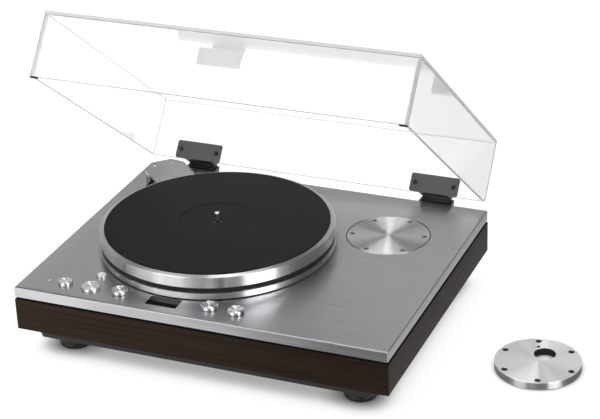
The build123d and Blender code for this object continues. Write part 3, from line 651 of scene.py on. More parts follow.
class TURNTABLE_OT_stage(bpy.types.Operator):
    """Make the floor, the lights, the surroundings and the camera"""

    bl_idname = "turntable.stage"
    bl_label = "Stage"

    def execute(self, context):
        scene = context.scene
        scene.view_settings.view_transform = "Standard"
        make_camera()
        make_world()
        make_floor()
        make_lamps()
        make_cards()
        return {"FINISHED"}


def make_camera():
    """Camera with the lens, place and turn that were fitted to the photograph's perspective."""
    data = bpy.data.cameras.new("camera")
    data.sensor_width = 36
    data.sensor_fit = "HORIZONTAL"
    data.lens = 114.52
    data.clip_start = 0.05
    data.clip_end = 100
    yaw, pitch, roll = (math.radians(angle) for angle in (23.192, 26.299, -2.203))
    level = math.cos(pitch)
    ahead = Vector((-math.sin(yaw) * level, math.cos(yaw) * level, -math.sin(pitch)))
    right = Vector((math.cos(yaw), math.sin(yaw), 0))
    up = right.cross(ahead)
    side = math.cos(roll) * right + math.sin(roll) * up
    top = -math.sin(roll) * right + math.cos(roll) * up
    place = Matrix((side, top, -ahead)).transposed().to_4x4()
    place.translation = Vector((955.51, -1961.63, 1087.44)) * MM
    camera = bpy.data.objects.new("camera", data)
    camera.matrix_world = place
    bpy.context.scene.collection.objects.link(camera)
    bpy.context.scene.camera = camera


def seen_and_lit(tree, output, lit, seen):
    """Join the shader that lights the object to the one that the camera, metal and glass see."""
    path = add_node(tree, "LightPath")
    share = path["Is Camera Ray"]
    for ray in ("Is Glossy Ray", "Is Transmission Ray"):
        share = add_node(tree, "Math", {0: share, 1: path[ray]}, operation="MAXIMUM")["Value"]
    mixed = add_node(tree, "MixShader", {0: share, 1: lit[0], 2: seen[0]})
    add_node(tree, output, {"Surface": mixed[0]})


def make_world():
    """White surroundings for the eye, metal and glass, and soft grey light for all the rest."""
    world = bpy.data.worlds.new("studio")
    world.use_nodes = True
    tree = world.node_tree
    tree.nodes.clear()
    light = add_node(tree, "Background", {"Color": (0.9, 0.9, 0.9, 1), "Strength": 0.75})
    white = add_node(tree, "Background", {"Color": (1, 1, 1, 1), "Strength": 1.0})
    seen_and_lit(tree, "OutputWorld", light, white)
    bpy.context.scene.world = world


def make_floor():
    """Pale floor that looks white where no shadow lies on it."""
    choose()
    bpy.ops.mesh.primitive_plane_add(size=14, location=(0, 2, FLOOR * MM))
    floor = settle(bpy.context.object)
    floor.name = "floor"
    finish, tree = start_finish("floor paint")
    paint = add_node(tree, "BsdfDiffuse", {"Color": with_alpha(linear("#f4f4f4"))})
    shaded = add_node(tree, "BsdfDiffuse", {"Color": with_alpha(linear("#828282"))})
    # The floor dims within 32 mm of a piece, so that a soft shadow lies under each
    near = add_node(tree, "AmbientOcclusion", {"Distance": 0.032}, samples=8)["AO"]
    fade = {"Value": near, "From Min": 0.25, "From Max": 0.8, "To Min": 0.05, "To Max": 0.88}
    glow = add_node(tree, "MapRange", fade)["Result"]
    lift = add_node(tree, "Emission", {"Color": (1, 1, 1, 1), "Strength": glow})
    white = add_node(tree, "AddShader", {0: shaded[0], 1: lift[0]})
    seen_and_lit(tree, "OutputMaterial", paint, white)
    floor.data.materials.append(finish)


def make_lamps():
    """Large soft lamp above, and a weaker one from the front left."""
    soft_lamp("overhead lamp", (-300, 300, 2200), (60, 0, -60), 1900, 20)
    soft_lamp("front lamp", (-1500, -1900, 1300), (60, 0, -60), 1400, 9)


def make_cards():
    """Grey and white studio cards round and above the object, seen only in its reflections."""
    ring, height = 3000, 2700
    upright = turned(-90, "Y")
    # For each card its direction from the object and half its width, in degrees, and its brightness
    strips = (
        ("strip 1", -179, 1.5, 2.0),
        ("strip 2", -148, 5.0, 1.6),
        ("strip 3", -137, 3.5, 2.2),
        ("strip 4", -90, 1.3, 3.2),
        ("strip 5", -83, 0.9, 3.4),
        ("strip 6", -75, 1.5, 2.6),
        ("strip 7", -58, 1.0, 1.6),
    )
    cards = (
        ("front left", -112, 16, 4.2),
        ("front", -71, 24, 0.25),
        ("front right", -28, 14, 8.0),
        ("front right edge", -5, 5, 0.8),
        ("right", 30, 30, 0.05),
        ("rear", 90, 30, 0.62),
        ("rear left", 128, 8, 0.83),
        ("far left", 155, 19, 0.42),
        ("left", 200, 26, 0.25),
    )
    for reach, group in ((ring - 100, strips), (ring, cards)):
        for name, angle, half, level in group:
            width = 2 * reach * math.tan(math.radians(half))
            place = turned(angle, "Z") @ moved(reach, 0, height / 2 - 130) @ upright
            add_card(name, place, height, width, level)
    flip = turned(180, "X")
    add_card("ceiling", turned_round(0, 0, 0, height) @ flip, 2.6 * ring, 2.6 * ring, 0.2)
    add_card("overhead", turned_round(130, 0, 0, 2000) @ flip, 560, 560, 13.0)
    upper = turned(-131, "Z") @ turned(-54, "Y") @ moved(2800, 0, 0) @ upright
    add_card("upper front left", upper, 2000, 1300, 2.4)
    add_card("floor right", turned_round(630, 125, 0, FLOOR + 1), 536, 550, 0.3)
    # The floor before the case grows darker to the right, and with it the front edge of the deck
    floors = ((-170, -30, 0.8), (-30, 60, 0.6), (60, 140, 0.32), (140, 330, 0.14))
    for number, (left, right, level) in enumerate(floors):
        place = turned_round((left + right) / 2, -470, 0, FLOOR + 1)
        add_card(f"floor front {number}", place, right - left, 480, level)
    add_card("floor behind", turned_round(750, 900, 0, FLOOR + 1), 900, 1000, 0.5)


def add_card(name, place, length, width, level):
    """Add one card that only glossy rays see, with its sizes in millimetres."""
    choose()
    bpy.ops.mesh.primitive_plane_add(size=1)
    card = bpy.context.object
    card.name = card.data.name = "card_" + name.replace(" ", "_")
    settle(card, place @ Matrix.Diagonal((length * MM, width * MM, 1, 1)))
    finish, tree = start_finish("card, " + name)
    depth = add_node(tree, "LightPath")["Glossy Depth"]
    clear = add_node(tree, "BsdfTransparent")[0]
    glow = add_node(tree, "Emission", {"Color": (1, 1, 1, 1), "Strength": level})[0]
    mirrored = add_node(tree, "Math", {0: depth, 1: 1.0}, operation="MINIMUM")["Value"]
    mixed = add_node(tree, "MixShader", {0: mirrored, 1: clear, 2: glow})
    add_node(tree, "OutputMaterial", {"Surface": mixed[0]})
    card.data.materials.append(finish)
    card.visible_camera = card.visible_diffuse = card.visible_shadow = False


def soft_lamp(name, place, target, width, power):
    """Square lamp aimed from its place to a target, in millimetres, with its power in watts."""
    data = bpy.data.lights.new(name, "AREA")
    data.shape = "SQUARE"
    data.size = width * MM
    data.energy = power
    lamp = bpy.data.objects.new(name, data)
    spot = Vector(place) * MM
    aim = Vector(target) * MM - spot
    lamp.rotation_mode = "QUATERNION"
    lamp.rotation_quaternion = aim.to_track_quat("-Z", "Y")
    lamp.location = spot
    lamp.visible_glossy = False
    bpy.context.scene.collection.objects.link(lamp)


# ---- finishes of the frame's own nodes


FINISHES = {}


def finish_of(name):
    """One of the finishes by its plain name, made the first time it is asked for."""
    if name not in FINISHES:
        FINISHES[name] = build_finish(name)
    return FINISHES[name]


def build_finish(name):
    """Make a finish from its recipe: function, material name, colour and the other settings."""
    tone = colours()
    blank, spare = middle("arm_base_blank"), middle("spare_arm_base")
    # Copies of the deck colour: edge is lighter for the deck's front edge, a painted highlight; the
    # spare base's top is lighter as painted light, and its rim darker than its top as painted shade
    edge, blank_tone, spare_lit_tone, spare_rim_shade = shades(tone.deck, 1.4, 1.24, 1.95, 1.3)
    boards = (tone.wood_dark, tone.wood_light)
    # The side boards are a darker copy of the same veneer: painted shade
    shaded_side_boards = [shade(wood, 0.66) for wood in boards]
    recipes = {
        "deck": (brushed_aluminium, "brushed anodised aluminium", tone.deck),
        # The deck's front edge is a lighter copy of its finish: a painted highlight
        "deck front highlight": (brushed_aluminium, "brushed anodised aluminium, milled edge", edge),
        "blank": (faced_aluminium, "lathe-faced aluminium, arm base", blank_tone, blank),
        # The spare base's top is a much lighter copy of the deck colour: painted light
        "spare": (faced_aluminium, "lathe-faced aluminium, spare base", spare_lit_tone, spare, 0.5),
        # The spare base's rim is a darker copy of its metal than the top: painted shade on its side
        "spare rim shade": (
            polished_aluminium,
            "turned aluminium, edge of the spare base",
            spare_rim_shade,
            spare,
            0.36,
        ),
        # The holes of the spare base get a dark grey: painted shade
        "drilled": (ground_metal, "drilled aluminium", "#4c4c4d", 0.5),
        "platter": (polished_aluminium, "polished turned aluminium, platter", tone.polish),
        "veneer along X": (dark_veneer, "dark walnut veneer, long boards", *boards, "X", 0.12),
        "veneer along Y": (dark_veneer, "dark walnut veneer, side boards", *shaded_side_boards, "Y", 0.07),
        "timber": (raw_timber, "planed pine", "#b5946a"),
        "black paint": (satin_paint, "black baked enamel", "#111112"),
        "bracket paint": (satin_paint, "black baked enamel, hinge brackets", "#2a2a2c", 0.42, 0.3),
        "hinge paint": (satin_paint, "dark grey baked enamel", "#404043", 0.42, 0.3),
        "motor paint": (satin_paint, "grey motor enamel", "#4a4b4d", 0.4),
        "steel": (ground_metal, "ground steel", "#c9c9cb"),
        "polished steel": (ground_metal, "ground and polished steel", "#cfcfd1", 0.1),
        "brass": (ground_metal, "turned brass", "#c9a45c", 0.24),
        "plain aluminium": (ground_metal, "machined aluminium", "#bcbcbe", 0.32),
        "mat": (ringed_rubber, "moulded rubber mat", tone.mat),
        "rubber": (plain_rubber, "ground black rubber", "#1b1b1b"),
        "foot": (moulded_plastic, "black moulded plastic, feet", "#1d1d1d", 0.38),
        "plastic": (moulded_plastic, "black moulded plastic", "#202020"),
        "window": (smoked_window, "smoked acrylic", "#141415"),
        "board": (circuit_board, "green solder mask", "#2c5a38"),
        "core": (laminated_core, "varnished laminations", "#6b6255"),
        "dark steel": (ground_metal, "black-oxide steel", "#2c2c2d", 0.3),
        # The sockets of the screws are darkened: painted shade
        "socket": (ground_metal, "broached socket", "#262627", 0.5),
        "grey steel": (ground_metal, "bright-zinc steel", "#98989a", 0.3),
        "lamp lens": (clear_lens, "clear lamp lens", "#e4e4e2", 0.25),
        "level cup": (ground_metal, "satin aluminium cup", "#dededd", 0.35),
        "level glass": (clear_lens, "bubble level glass", "#efefec", 0.1),
        "acrylic edge": (acrylic_edge, "cut acrylic edge", "#dadada"),
        "acrylic": (clear_acrylic, "cast clear acrylic", "#fafafa"),
    }
    # Each knob and button is turned about its own axis, so each has a face and a rim of its own
    face, rim = shade(tone.deck, 1.9), shade(tone.polish, 1.2)
    for node in CONTROLS:
        metal, centre = "aluminium, " + node.replace("_", " "), middle(node)
        recipes[node + " face"] = (faced_aluminium, "lathe-faced " + metal, face, centre)
        recipes[node] = (polished_aluminium, "polished turned " + metal, rim, centre, 0.36)
    make, title, colour, *settings = recipes[name]
    if isinstance(colour, str):
        colour = linear(colour)
    return make(title, colour, *settings)


def face_tops(piece, node):
    """Give the top faces inside the rim of a knob or button their lathe-faced finish."""
    centre = Vector((*middle(node), 0)) * MM
    rim = (half_width(node) - 1) * MM
    top = (corners(node)[1].z - 1) * MM

    def on_top(face):
        inside = (face.center - centre).xy.length < rim
        return inside and face.center.z > top and face.normal.z > 0.9

    finish_faces(piece, node + " face", on_top)


NODE_FINISHES = {
    "deck": ("top_plate", "motor_cover"),
    "blank": ("arm_base_blank",),
    "spare": ("spare_arm_base",),
    "platter": ("platter",),
    "veneer along X": ("plinth_front", "plinth_rear"),
    "veneer along Y": ("plinth_left", "plinth_right"),
    "timber": ("corner_blocks",),
    "black paint": ("sub_chassis", "bottom_cover", "motor_bracket", "inlet_plate"),
    "bracket paint": ("hinge_bracket_left", "hinge_bracket_right"),
    "hinge paint": ("hinge_leaf_left", "hinge_leaf_right"),
    "motor paint": ("motor_body",),
    "steel": ("case_screws", "thrust_bearing", "motor_screws", "hinge_pins", "motor_shaft"),
    "polished steel": ("spindle",),
    "brass": ("bearing_bushes", "pulley"),
    "plain aluminium": ("bearing_housing",),
    "mat": ("mat",),
    "rubber": ("motor_isolators", "drive_belt", "lid_pads"),
    "foot": ("foot_front_left", "foot_front_right", "foot_rear_left", "foot_rear_right"),
    "plastic": ("strobe_housing", "switch_bodies", "pitch_pots", "mains_inlet"),
    "window": ("strobe_window",),
    "board": ("strobe_board", "control_board"),
    "core": ("transformer",),
    "lamp lens": ("power_led",),
    "grey steel": ("arm_base_screws",),
    "dark steel": ("leaf_screws",),
    "level cup": ("level_body",),
    "level glass": ("level_glass",),
    "acrylic": ("lid_top", "lid_front", "lid_rear", "lid_left", "lid_right"),
}


class TURNTABLE_OT_frame_finishes(bpy.types.Operator):
    """Give every node of the frame its finish"""

    bl_idname = "turntable.frame_finishes"
    bl_label = "Finishes of the frame"

    def execute(self, context):
        finishes = {node: name for name, nodes in NODE_FINISHES.items() for node in nodes}
        finishes.update({node: node for node in CONTROLS})
        left = set(frame["nodes"]) - set(finishes)
        if left:
            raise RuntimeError(f"nodes without a finish: {sorted(left)}")
        for node, name in finishes.items():
            set_finish(frame["nodes"][node], name)
        for node in NODE_FINISHES["acrylic"]:
            frame["nodes"][node].visible_shadow = False
        return {"FINISHED"}


# ---- case


class TURNTABLE_OT_case(bpy.types.Operator):
    """Soften the edges of the deck, the boards, the covers and the inlet, and make the feet"""

    bl_idname = "turntable.case"
    bl_label = "Case and feet"

    def execute(self, context):
        edge = sizes().edge_softness / MM
        for side, grain in (("front", "X"), ("rear", "X"), ("left", "Y"), ("right", "Y")):
            dress_node(f"plinth_{side}", 0.5, f"veneer along {grain}", "base")
        dress_node("bottom_cover", 0.3, "black paint", "base", 1)
        deck = dress_node("top_plate", edge, "deck", "base")
        front = (corners("top_plate")[0].y + 1.1 * edge) * MM
        # The front edge faces get a lighter copy of the deck finish: a painted highlight on the
        # milled edge
        finish_faces(deck, "deck front highlight", lambda face: face.center.y < front and face.normal.z < 0.98)
        dress_node("motor_cover", edge, "deck", "base")
        dress_node("inlet_plate", edge, "black paint", "base")
        dress_node("mains_inlet", 0.2, "plastic", "base", 1)
        for end in ("front", "rear"):
            for side in ("left", "right"):
                make_foot(f"foot_{end}_{side}")
        return {"FINISHED"}


class TURNTABLE_OT_arm_bases(bpy.types.Operator):
    """Soften the edges of both arm bases, with painted shade in the spare base's drilled holes and on
    its rim
    """

    bl_idname = "turntable.arm_bases"
    bl_label = "Arm bases"

    def execute(self, context):
        edge = sizes().edge_softness / MM
        dress_node("arm_base_blank", edge, "blank", "base")
        spare = dress_node("spare_arm_base", edge, "spare", "spare_arm_base")
        centre = Vector((*middle("spare_arm_base"), 0)) * MM
        # Faces below the upper half of the bevel are the rim or, nearer the middle, the holes
        rim = (half_width("spare_arm_base") - 0.5) * MM
        top = (corners("spare_arm_base")[1].z - 0.32) * MM

        def drilled(face):
            return face.center.z < top and (face.center - centre).xy.length < rim

        # The faces in the holes are darkened: painted shade
        finish_faces(spare, "drilled", drilled)
        # The rim of the spare base gets its darker copy: painted shade
        finish_faces(spare, "spare rim shade", lambda face: face.center.z < top and not drilled(face))
        return {"FINISHED"}


def make_foot(node):
    """Moulded foot: a cup with a grip groove, a rubber sole and a threaded stud."""
    low, high = corners(node)
    centre = middle(node)
    radius = half_width(node)
    neck, stud = 14, 5
    floor, top = low.z, low.z + 15
    neck_top = corners("bottom_cover")[0].z - 0.3
    profile = (
        (0, floor + 1), (radius - 3.2, floor + 1), (radius - 2.4, floor + 0.4),
        (radius - 0.7, floor + 0.9), (radius, floor + 2.6), (radius, floor + 5.2),
        (radius - 0.7, floor + 5.8), (radius - 0.7, floor + 6.6), (radius, floor + 7.2),
        (radius, top - 1.2), (radius - 1.2, top), (neck, top), (neck, neck_top),
        (stud, neck_top), (stud, high.z - 0.8), (stud - 0.8, high.z), (0, high.z),
    )
    cup = turned_piece(node + "_cup", centre, profile)
    soften(cup, 0.25)
    hand_over(cup, "foot", node, node)
    radius -= 4
    top = floor + 1.6
    profile = ((0, floor), (radius - 0.4, floor), (radius, floor + 0.5), (radius, top), (0, top))
    sole = turned_piece(node + "_sole", centre, profile, 64)
    soften(sole, 0.2)
    hand_over(sole, "rubber", node, node)


# ---- platter, mat, spindle and belt


class TURNTABLE_OT_platter(bpy.types.Operator):
    """Turn the platter, its mat and the spindle, and lay the belt"""

    bl_idname = "turntable.platter"
    bl_label = "Platter, mat and belt"

    def execute(self, context):
        make_platter(sizes().round_steps)
        make_mat(sizes().round_steps)
        make_spindle()
        make_belt()
        return {"FINISHED"}


def make_platter(steps):
    """Turned platter with its belt groove, a hub and eight ribs below."""
    low, high = corners("platter")
    radius = half_width("platter")
    recess, mat_low = half_width("mat") + 0.3, corners("mat")[0].z
    web_low, inner, hub = PLATTER_WEB, radius - 11.7, 24
    (groove_low, groove_high), groove = BELT_GROOVE, BELT_GROOVE_RADIUS
    hub_low, hub_bore = DECK_TOP + 7, PLATTER_BORE + 1
    profile = (
        # Hub, web and the inside of the rim
        (hub_bore, hub_low), (hub, hub_low), (hub + 2, web_low), (inner - 3, web_low),
        (inner, web_low - 3), (inner, low.z),
        # Outside of the rim with the groove; its top falls from the mat to the edge
        (radius - 0.7, low.z), (radius, low.z + 0.7), (radius, groove_low), (groove, groove_low),
        (groove, groove_high), (radius, groove_high), (radius, high.z - 1.8),
        (radius - 0.7, high.z - 1.1),
        # Recess for the mat and the bore
        (recess, high.z), (recess, mat_low), (PLATTER_BORE, mat_low), (PLATTER_BORE, web_low),
        (hub_bore, web_low), (hub_bore, hub_low),
    )
    disc = turned_piece("platter_disc", PLATTER_AXIS, profile, steps)
    soften(disc, 0.25)
    rib = block_piece("rib", (hub + 1, -2, web_low - 7), (inner - 1, 2, web_low + 0.5))
    soften(rib, 0.5)
    ribs = copies(rib, [turned_round(0, 0, 45 * number) for number in range(8)])
    platter = joined("platter_turned", disc, *ribs)
    hand_over(platter, "platter", "platter", "platter")


def make_mat(steps):
    """Rubber mat with a rounded edge and a label recess."""
    low, high = corners("mat")
    radius = half_width("mat")
    label, hole, top = 50, 5.3, high.z
    profile = (
        (hole, low.z), (radius, low.z), (radius, top - 0.8), (radius - 0.3, top - 0.25),
        (radius - 0.9, top), (label + 1.2, top), (label, top - 0.25), (label - 1, top - 1),
        (hole + 0.4, top - 1), (hole, top - 1.4), (hole, low.z),
    )
    mat = turned_piece("mat_moulded", PLATTER_AXIS, profile, steps)
    soften(mat, 0.15)
    hand_over(mat, "mat", "platter", "mat")


def make_spindle():
    """Ground spindle with a round tip and a collar at the platter's bore."""
    low, high = corners("spindle")
    collar = corners("mat")[1].z - 2.4
    shaft, pin, tip = PLATTER_BORE + 1, 7.15 / 2, high.z
    profile = (
        (0, low.z), (shaft - 0.6, low.z), (shaft, low.z + 0.6), (shaft, PLATTER_WEB),
        (PLATTER_BORE, PLATTER_WEB), (PLATTER_BORE, collar), (pin, collar), (pin, tip - 1.7),
        (3.2, tip - 0.95), (2.5, tip - 0.4), (1.4, tip - 0.08), (0, tip),
    )
    spindle = turned_piece("spindle_ground", PLATTER_AXIS, profile, 64)
    soften(spindle, 0.12)
    hand_over(spindle, "polished steel", "platter", "spindle")


def make_belt():
    """Flat belt spun round both pulleys, on the two outer tangents."""
    low, high = (corner.z for corner in corners("drive_belt"))
    groove, small = BELT_GROOVE_RADIUS + 0.3, 13.3
    thick, corner = 1.0, 0.15
    reach = math.acos((groove - small) / BELT_REACH)
    angle = math.radians(BELT_ANGLE)
    start = Vector((math.cos(angle + reach), math.sin(angle + reach), 0))
    end = Vector((math.cos(angle - reach), math.sin(angle - reach), 0))
    motor = Vector((*middle("pulley"), 0))
    belt = fresh_point("belt_band")
    outline = (
        (0, low + corner), (corner, low), (thick - corner, low), (thick, low + corner),
        (thick, high - corner), (thick - corner, high), (corner, high), (0, high - corner),
    )
    section = [start * (groove + depth) + Vector((0, 0, height)) for depth, height in outline]
    draw_through([*section, section[0]])
    bpy.ops.mesh.remove_doubles(threshold=0.000002)
    bpy.ops.mesh.spin(steps=180, angle=2 * reach - math.tau, center=(0, 0, 0), axis=(0, 0, 1))
    step = motor + end * small - end * groove
    bpy.ops.mesh.extrude_region_move(TRANSFORM_OT_translate={"value": step * MM})
    bpy.ops.mesh.spin(steps=24, angle=-2 * reach, center=motor * MM, axis=(0, 0, 1))
    step = start * groove - motor - start * small
    bpy.ops.mesh.extrude_region_move(TRANSFORM_OT_translate={"value": step * MM})
    close_shell(0.00002)
    smooth(belt)
    hand_over(belt, "rubber", "base", "drive_belt")


# ---- controls


class TURNTABLE_OT_controls(bpy.types.Operator):
    """Turn the knobs and buttons, and make the light, the level and the window"""

    bl_idname = "turntable.controls"
    bl_label = "Controls"

    def execute(self, context):
        for node in ("speed_knob", "pitch_knob_left", "pitch_knob_right"):
            make_knob(node)
        for node in ("power_button", "start_button"):
            make_button(node)
        make_lamp()
        make_level()
        dress_node("strobe_window", 0.6, "window", "base")
        return {"FINISHED"}


def make_knob(node):
    """Low turned knob: a bright bevelled ring, a dished face and an index notch at the rear."""
    x, y = middle(node)
    radius = half_width(node)
    low, top = (corner.z for corner in corners(node))
    foot, skirt = DECK_TOP + 0.3, DECK_TOP + 0.9
    profile = (
        (0, low), (2.7, low), (3, low + 0.3), (3, foot), (radius - 1.2, foot),
        (radius - 1.2, skirt), (radius - 0.2, skirt), (radius, skirt + 0.2),
        (radius, top - 1.0), (radius - 0.9, top), (radius - 2.2, top),
        (radius - 2.6, top - 0.35), (radius * 0.45, top - 0.55), (0, top - 0.65),
    )
    knob = turned_piece(node + "_turned", (x, y), profile)
    rear, front = y + 0.72 * radius, y + 0.42 * radius
    carve(knob, block_piece("notch", (x - 0.5, front, top - 0.9), (x + 0.5, rear, top + 1)))
    soften(knob, 0.12)
    hand_over(knob, node, node, node)
    face_tops(knob, node)


def make_button(node):
    """Push button with a rounded shoulder and a faintly dished face, in its well."""
    radius = half_width(node)
    low, top = (corner.z for corner in corners(node))
    well = DECK_TOP - 4
    profile = (
        (0, low), (2.7, low), (3, low + 0.3), (3, well), (radius, well), (radius, top - 0.9),
        (radius - 0.15, top - 0.45), (radius - 0.45, top - 0.15), (radius - 0.9, top),
        (radius - 1.9, top), (radius * 0.5, top - 0.3), (0, top - 0.45),
    )
    button = turned_piece(node + "_turned", middle(node), profile)
    soften(button, 0.12)
    hand_over(button, node, node, node)
    face_tops(button, node)


def make_lamp():
    """Small domed lens of the power light."""
    radius = half_width("power_led")
    low, top = (corner.z for corner in corners("power_led"))
    profile = (
        (0, low), (radius, low), (radius, top - 0.5),
        (radius * 0.87, top - 0.2), (radius * 0.6, top - 0.06), (0, top),
    )
    lens = turned_piece("power_led_lens", middle("power_led"), profile, 48)
    smooth(lens)
    hand_over(lens, "lamp lens", "base", "power_led")


def make_level():
    """Bubble level: a turned cup and the pale cap in it."""
    centre = middle("level_body")
    radius = half_width("level_body")
    low, top = (corner.z for corner in corners("level_body"))
    inner, floor = radius - 1.5, low + 1.5
    profile = (
        (0, low), (radius, low), (radius, top - 0.4), (radius - 0.4, top),
        (inner + 0.3, top), (inner, top - 0.3), (inner, floor), (0, floor),
    )
    cup = turned_piece("level_cup", centre, profile, 72)
    soften(cup, 0.1)
    hand_over(cup, "level cup", "base", "level_body")
    top = corners("level_glass")[1].z
    profile = (
        (0, floor), (inner, floor), (inner, top - 0.35),
        (inner - 0.12, top - 0.12), (inner - 0.4, top), (0, top),
    )
    cap = turned_piece("level_cap", centre, profile, 72)
    soften(cap, 0.08)
    hand_over(cap, "level glass", "base", "level_glass")


# ---- screws


class TURNTABLE_OT_screws(bpy.types.Operator):
    """Make the visible screws with their sockets"""

    bl_idname = "turntable.screws"
    bl_label = "Screws"

    def execute(self, context):
        make_cover_screws()
        make_arm_screws()
        make_leaf_screws()
        return {"FINISHED"}


def socket_screw(name, finish, profile, socket, depth, top):
    """Screw turned on its own axis, with a hexagon socket cut in its head and darkened as painted
    shade.
    """
    one = turned_piece(name, (0, 0), profile, 40)
    carve(one, hexagon_piece(socket, 2 * depth, top))
    soften(one, 0.08, 1)
    set_finish(one, finish)
    floor, mouth = (top - 1.2 * depth) * MM, (top - 0.06) * MM

    def in_socket(face):
        return face.center.xy.length < 1.02 * socket * MM and floor < face.center.z < mouth

    # The socket faces are darkened: painted shade
    finish_faces(one, "socket", in_socket)
    return one


def ring_of(count, centre, radius, start, height):
    """Places on a circle, as many as asked for, the first at a start angle in degrees."""
    angles = [start + 360 / count * number for number in range(count)]
    return [turned_round(*centre, angle, height) @ moved(radius, 0, 0) for angle in angles]


def make_cover_screws():
    """Cap screws of the pulley cover, and those that hang the motor below the deck."""
    top = corners("motor_cover")[1].z
    shank = ((0, -29), (1.2, -29), (1.5, -28.6), (1.5, 0))
    head = ((2.6, 0), (2.6, 0.8), (2.2, 1.2), (0, 1.2))
    screw = socket_screw("cover_screw", "steel", shank + head, socket=1.7, depth=0.9, top=1.2)
    # The cover's screws are placed along the belt's line and to either side of it
    line = turned(BELT_ANGLE, "Z")
    near, far = BELT_REACH - 18, BELT_REACH + 21
    spots = ((near, 24), (near, -24), (far, 13), (far, -13))
    above = copies(screw, [line @ turned_round(along, side, z=top) for along, side in spots])
    shank = ((0, -14.5), (1.7, -14.5), (2, -14.1), (2, 0))
    head = ((3.8, 0), (3.8, 1.5), (3.3, 2), (0, 2))
    hanger = socket_screw("motor_hanger", "steel", shank + head, socket=1.6, depth=1.2, top=2)
    under = corners("motor_screws")[0].z + 2
    places = ring_of(4, middle("pulley"), radius=29, start=45, height=under)
    below = copies(hanger, [place @ turned(180, "X") for place in places])
    screws = joined("motor_screws_made", *above, *below)
    hand_over(screws, None, "base", "motor_screws")


def make_arm_screws():
    """Six countersunk screws of the blank arm base."""
    low = corners("arm_base_screws")[0].z - DECK_TOP
    profile = ((0, low), (1.7, low), (2, low + 0.4), (2, -2), (3.9, -0.12), (3.8, 0), (0, 0))
    one = socket_screw("arm_screw", "grey steel", profile, socket=1.5, depth=1.1, top=0)
    places = ring_of(6, middle("arm_base_blank"), radius=46.5, start=12.3, height=DECK_TOP)
    screws = joined("arm_base_screws_made", *copies(one, places))
    hand_over(screws, None, "base", "arm_base_screws")


def make_leaf_screws():
    """Two screws through each hinge leaf, with their nuts outside the lid."""
    shank = ((0, -9.7), (1.6, -9.7), (2, -9.3), (2, -8.9), (2, 0))
    head = ((3.4, 0), (3.4, 0.5), (2.9, 1), (0, 1))
    one = socket_screw("leaf_screw", "dark steel", shank + head, socket=1.4, depth=0.7, top=1)
    nut = hexagon_piece(radius=3.5, length=2.4, height=-7.7)
    soften(nut, 0.3)
    one = joined("leaf_screw", one, nut)
    # The screws are placed in the closed lid and opened with it
    pivot = Matrix.Translation(Vector(LID_HINGE["pos_m"]))
    lid = pivot @ turned(LID_CLOSED_ANGLE, "X") @ pivot.inverted()
    places = []
    for node in ("hinge_leaf_left", "hinge_leaf_right"):
        for side in (-26.5, 26.5):
            spot = moved(middle(node)[0] + side, LID_INNER_Y - 2, DECK_TOP + 14.3)
            places.append(lid @ spot @ turned(90, "X"))
    screws = joined("leaf_screws_made", *copies(one, places))
    hand_over(screws, None, "lid", "leaf_screws")


# ---- lid and hinges


class TURNTABLE_OT_lid(bpy.types.Operator):
    """Make the clear lid of bonded sheets, and its pads"""

    bl_idname = "turntable.lid"
    bl_label = "Lid"

    def execute(self, context):
        for side, across in zip(("top", "front", "rear", "left", "right"), "ZYYXX"):
            make_sheet(f"lid_{side}", across, sizes().lid_edge / MM)
        dress_node("lid_pads", 0.3, "rubber", "lid")
        return {"FINISHED"}


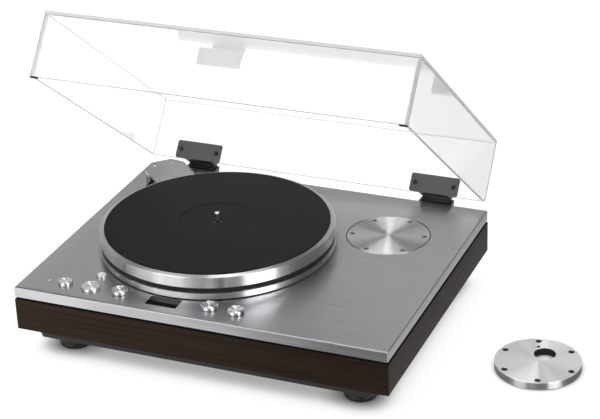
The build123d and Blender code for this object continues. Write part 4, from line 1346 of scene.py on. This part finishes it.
def make_sheet(node, across, edge):
    """One clear sheet with pale edges; across is the axis of its thickness with the lid closed.

    It lies a hairline off its neighbours, so that light passes the joints.
    """
    sheet = softened_copy(node, 0)
    bpy.ops.object.mode_set(mode="EDIT")
    bpy.ops.mesh.select_all(action="SELECT")
    bpy.ops.transform.shrink_fatten(value=-0.05 * MM)
    bpy.ops.object.mode_set(mode="OBJECT")
    soften(sheet, edge)
    sheet.visible_shadow = False
    hand_over(sheet, "acrylic", "lid", node)
    thin = Vector([float(axis == across) for axis in "XYZ"])
    thin = turned(LID_CLOSED_ANGLE, "X").to_3x3() @ thin
    finish_faces(sheet, "acrylic edge", lambda face: abs(face.normal.dot(thin)) < 0.9)


class TURNTABLE_OT_hinges(bpy.types.Operator):
    """Soften the edges of the hinge leaves, brackets and pins"""

    bl_idname = "turntable.hinges"
    bl_label = "Hinges"

    def execute(self, context):
        for side in ("left", "right"):
            dress_node(f"hinge_leaf_{side}", 0.25, "hinge paint", "lid")
            dress_node(f"hinge_bracket_{side}", 0.3, "bracket paint", "base")
        dress_node("hinge_pins", 0.2, "steel", "base")
        return {"FINISHED"}


# ---- add-on


OPERATORS = (
    TURNTABLE_OT_frame_finishes,
    TURNTABLE_OT_case,
    TURNTABLE_OT_arm_bases,
    TURNTABLE_OT_platter,
    TURNTABLE_OT_controls,
    TURNTABLE_OT_screws,
    TURNTABLE_OT_lid,
    TURNTABLE_OT_hinges,
    TURNTABLE_OT_stage,
)


class TURNTABLE_PT_panel(bpy.types.Panel):
    """Lists the pieces of the turntable and the sizes and colours that can change"""

    bl_idname = "TURNTABLE_PT_panel"
    bl_label = "Turntable"
    bl_space_type = "VIEW_3D"
    bl_region_type = "UI"
    bl_category = "Turntable"

    def draw(self, context):
        for group in (context.scene.turntable_sizes, context.scene.turntable_colours):
            for name in group.bl_rna.properties.keys():
                if name not in ("rna_type", "name"):
                    self.layout.prop(group, name)
        for operator in OPERATORS:
            self.layout.operator(operator.bl_idname)


CLASSES = (TurntableSizes, TurntableColours, *OPERATORS, TURNTABLE_PT_panel)


def register():
    for cls in CLASSES:
        bpy.utils.register_class(cls)
    bpy.types.Scene.turntable_sizes = PointerProperty(type=TurntableSizes)
    bpy.types.Scene.turntable_colours = PointerProperty(type=TurntableColours)


def unregister():
    del bpy.types.Scene.turntable_sizes
    del bpy.types.Scene.turntable_colours
    for cls in reversed(CLASSES):
        bpy.utils.unregister_class(cls)


def main():
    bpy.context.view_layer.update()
    register()
    for operator in OPERATORS:
        group, name = operator.bl_idname.split(".")
        getattr(getattr(bpy.ops, group), name)()


if __name__ == "__main__":
    main()
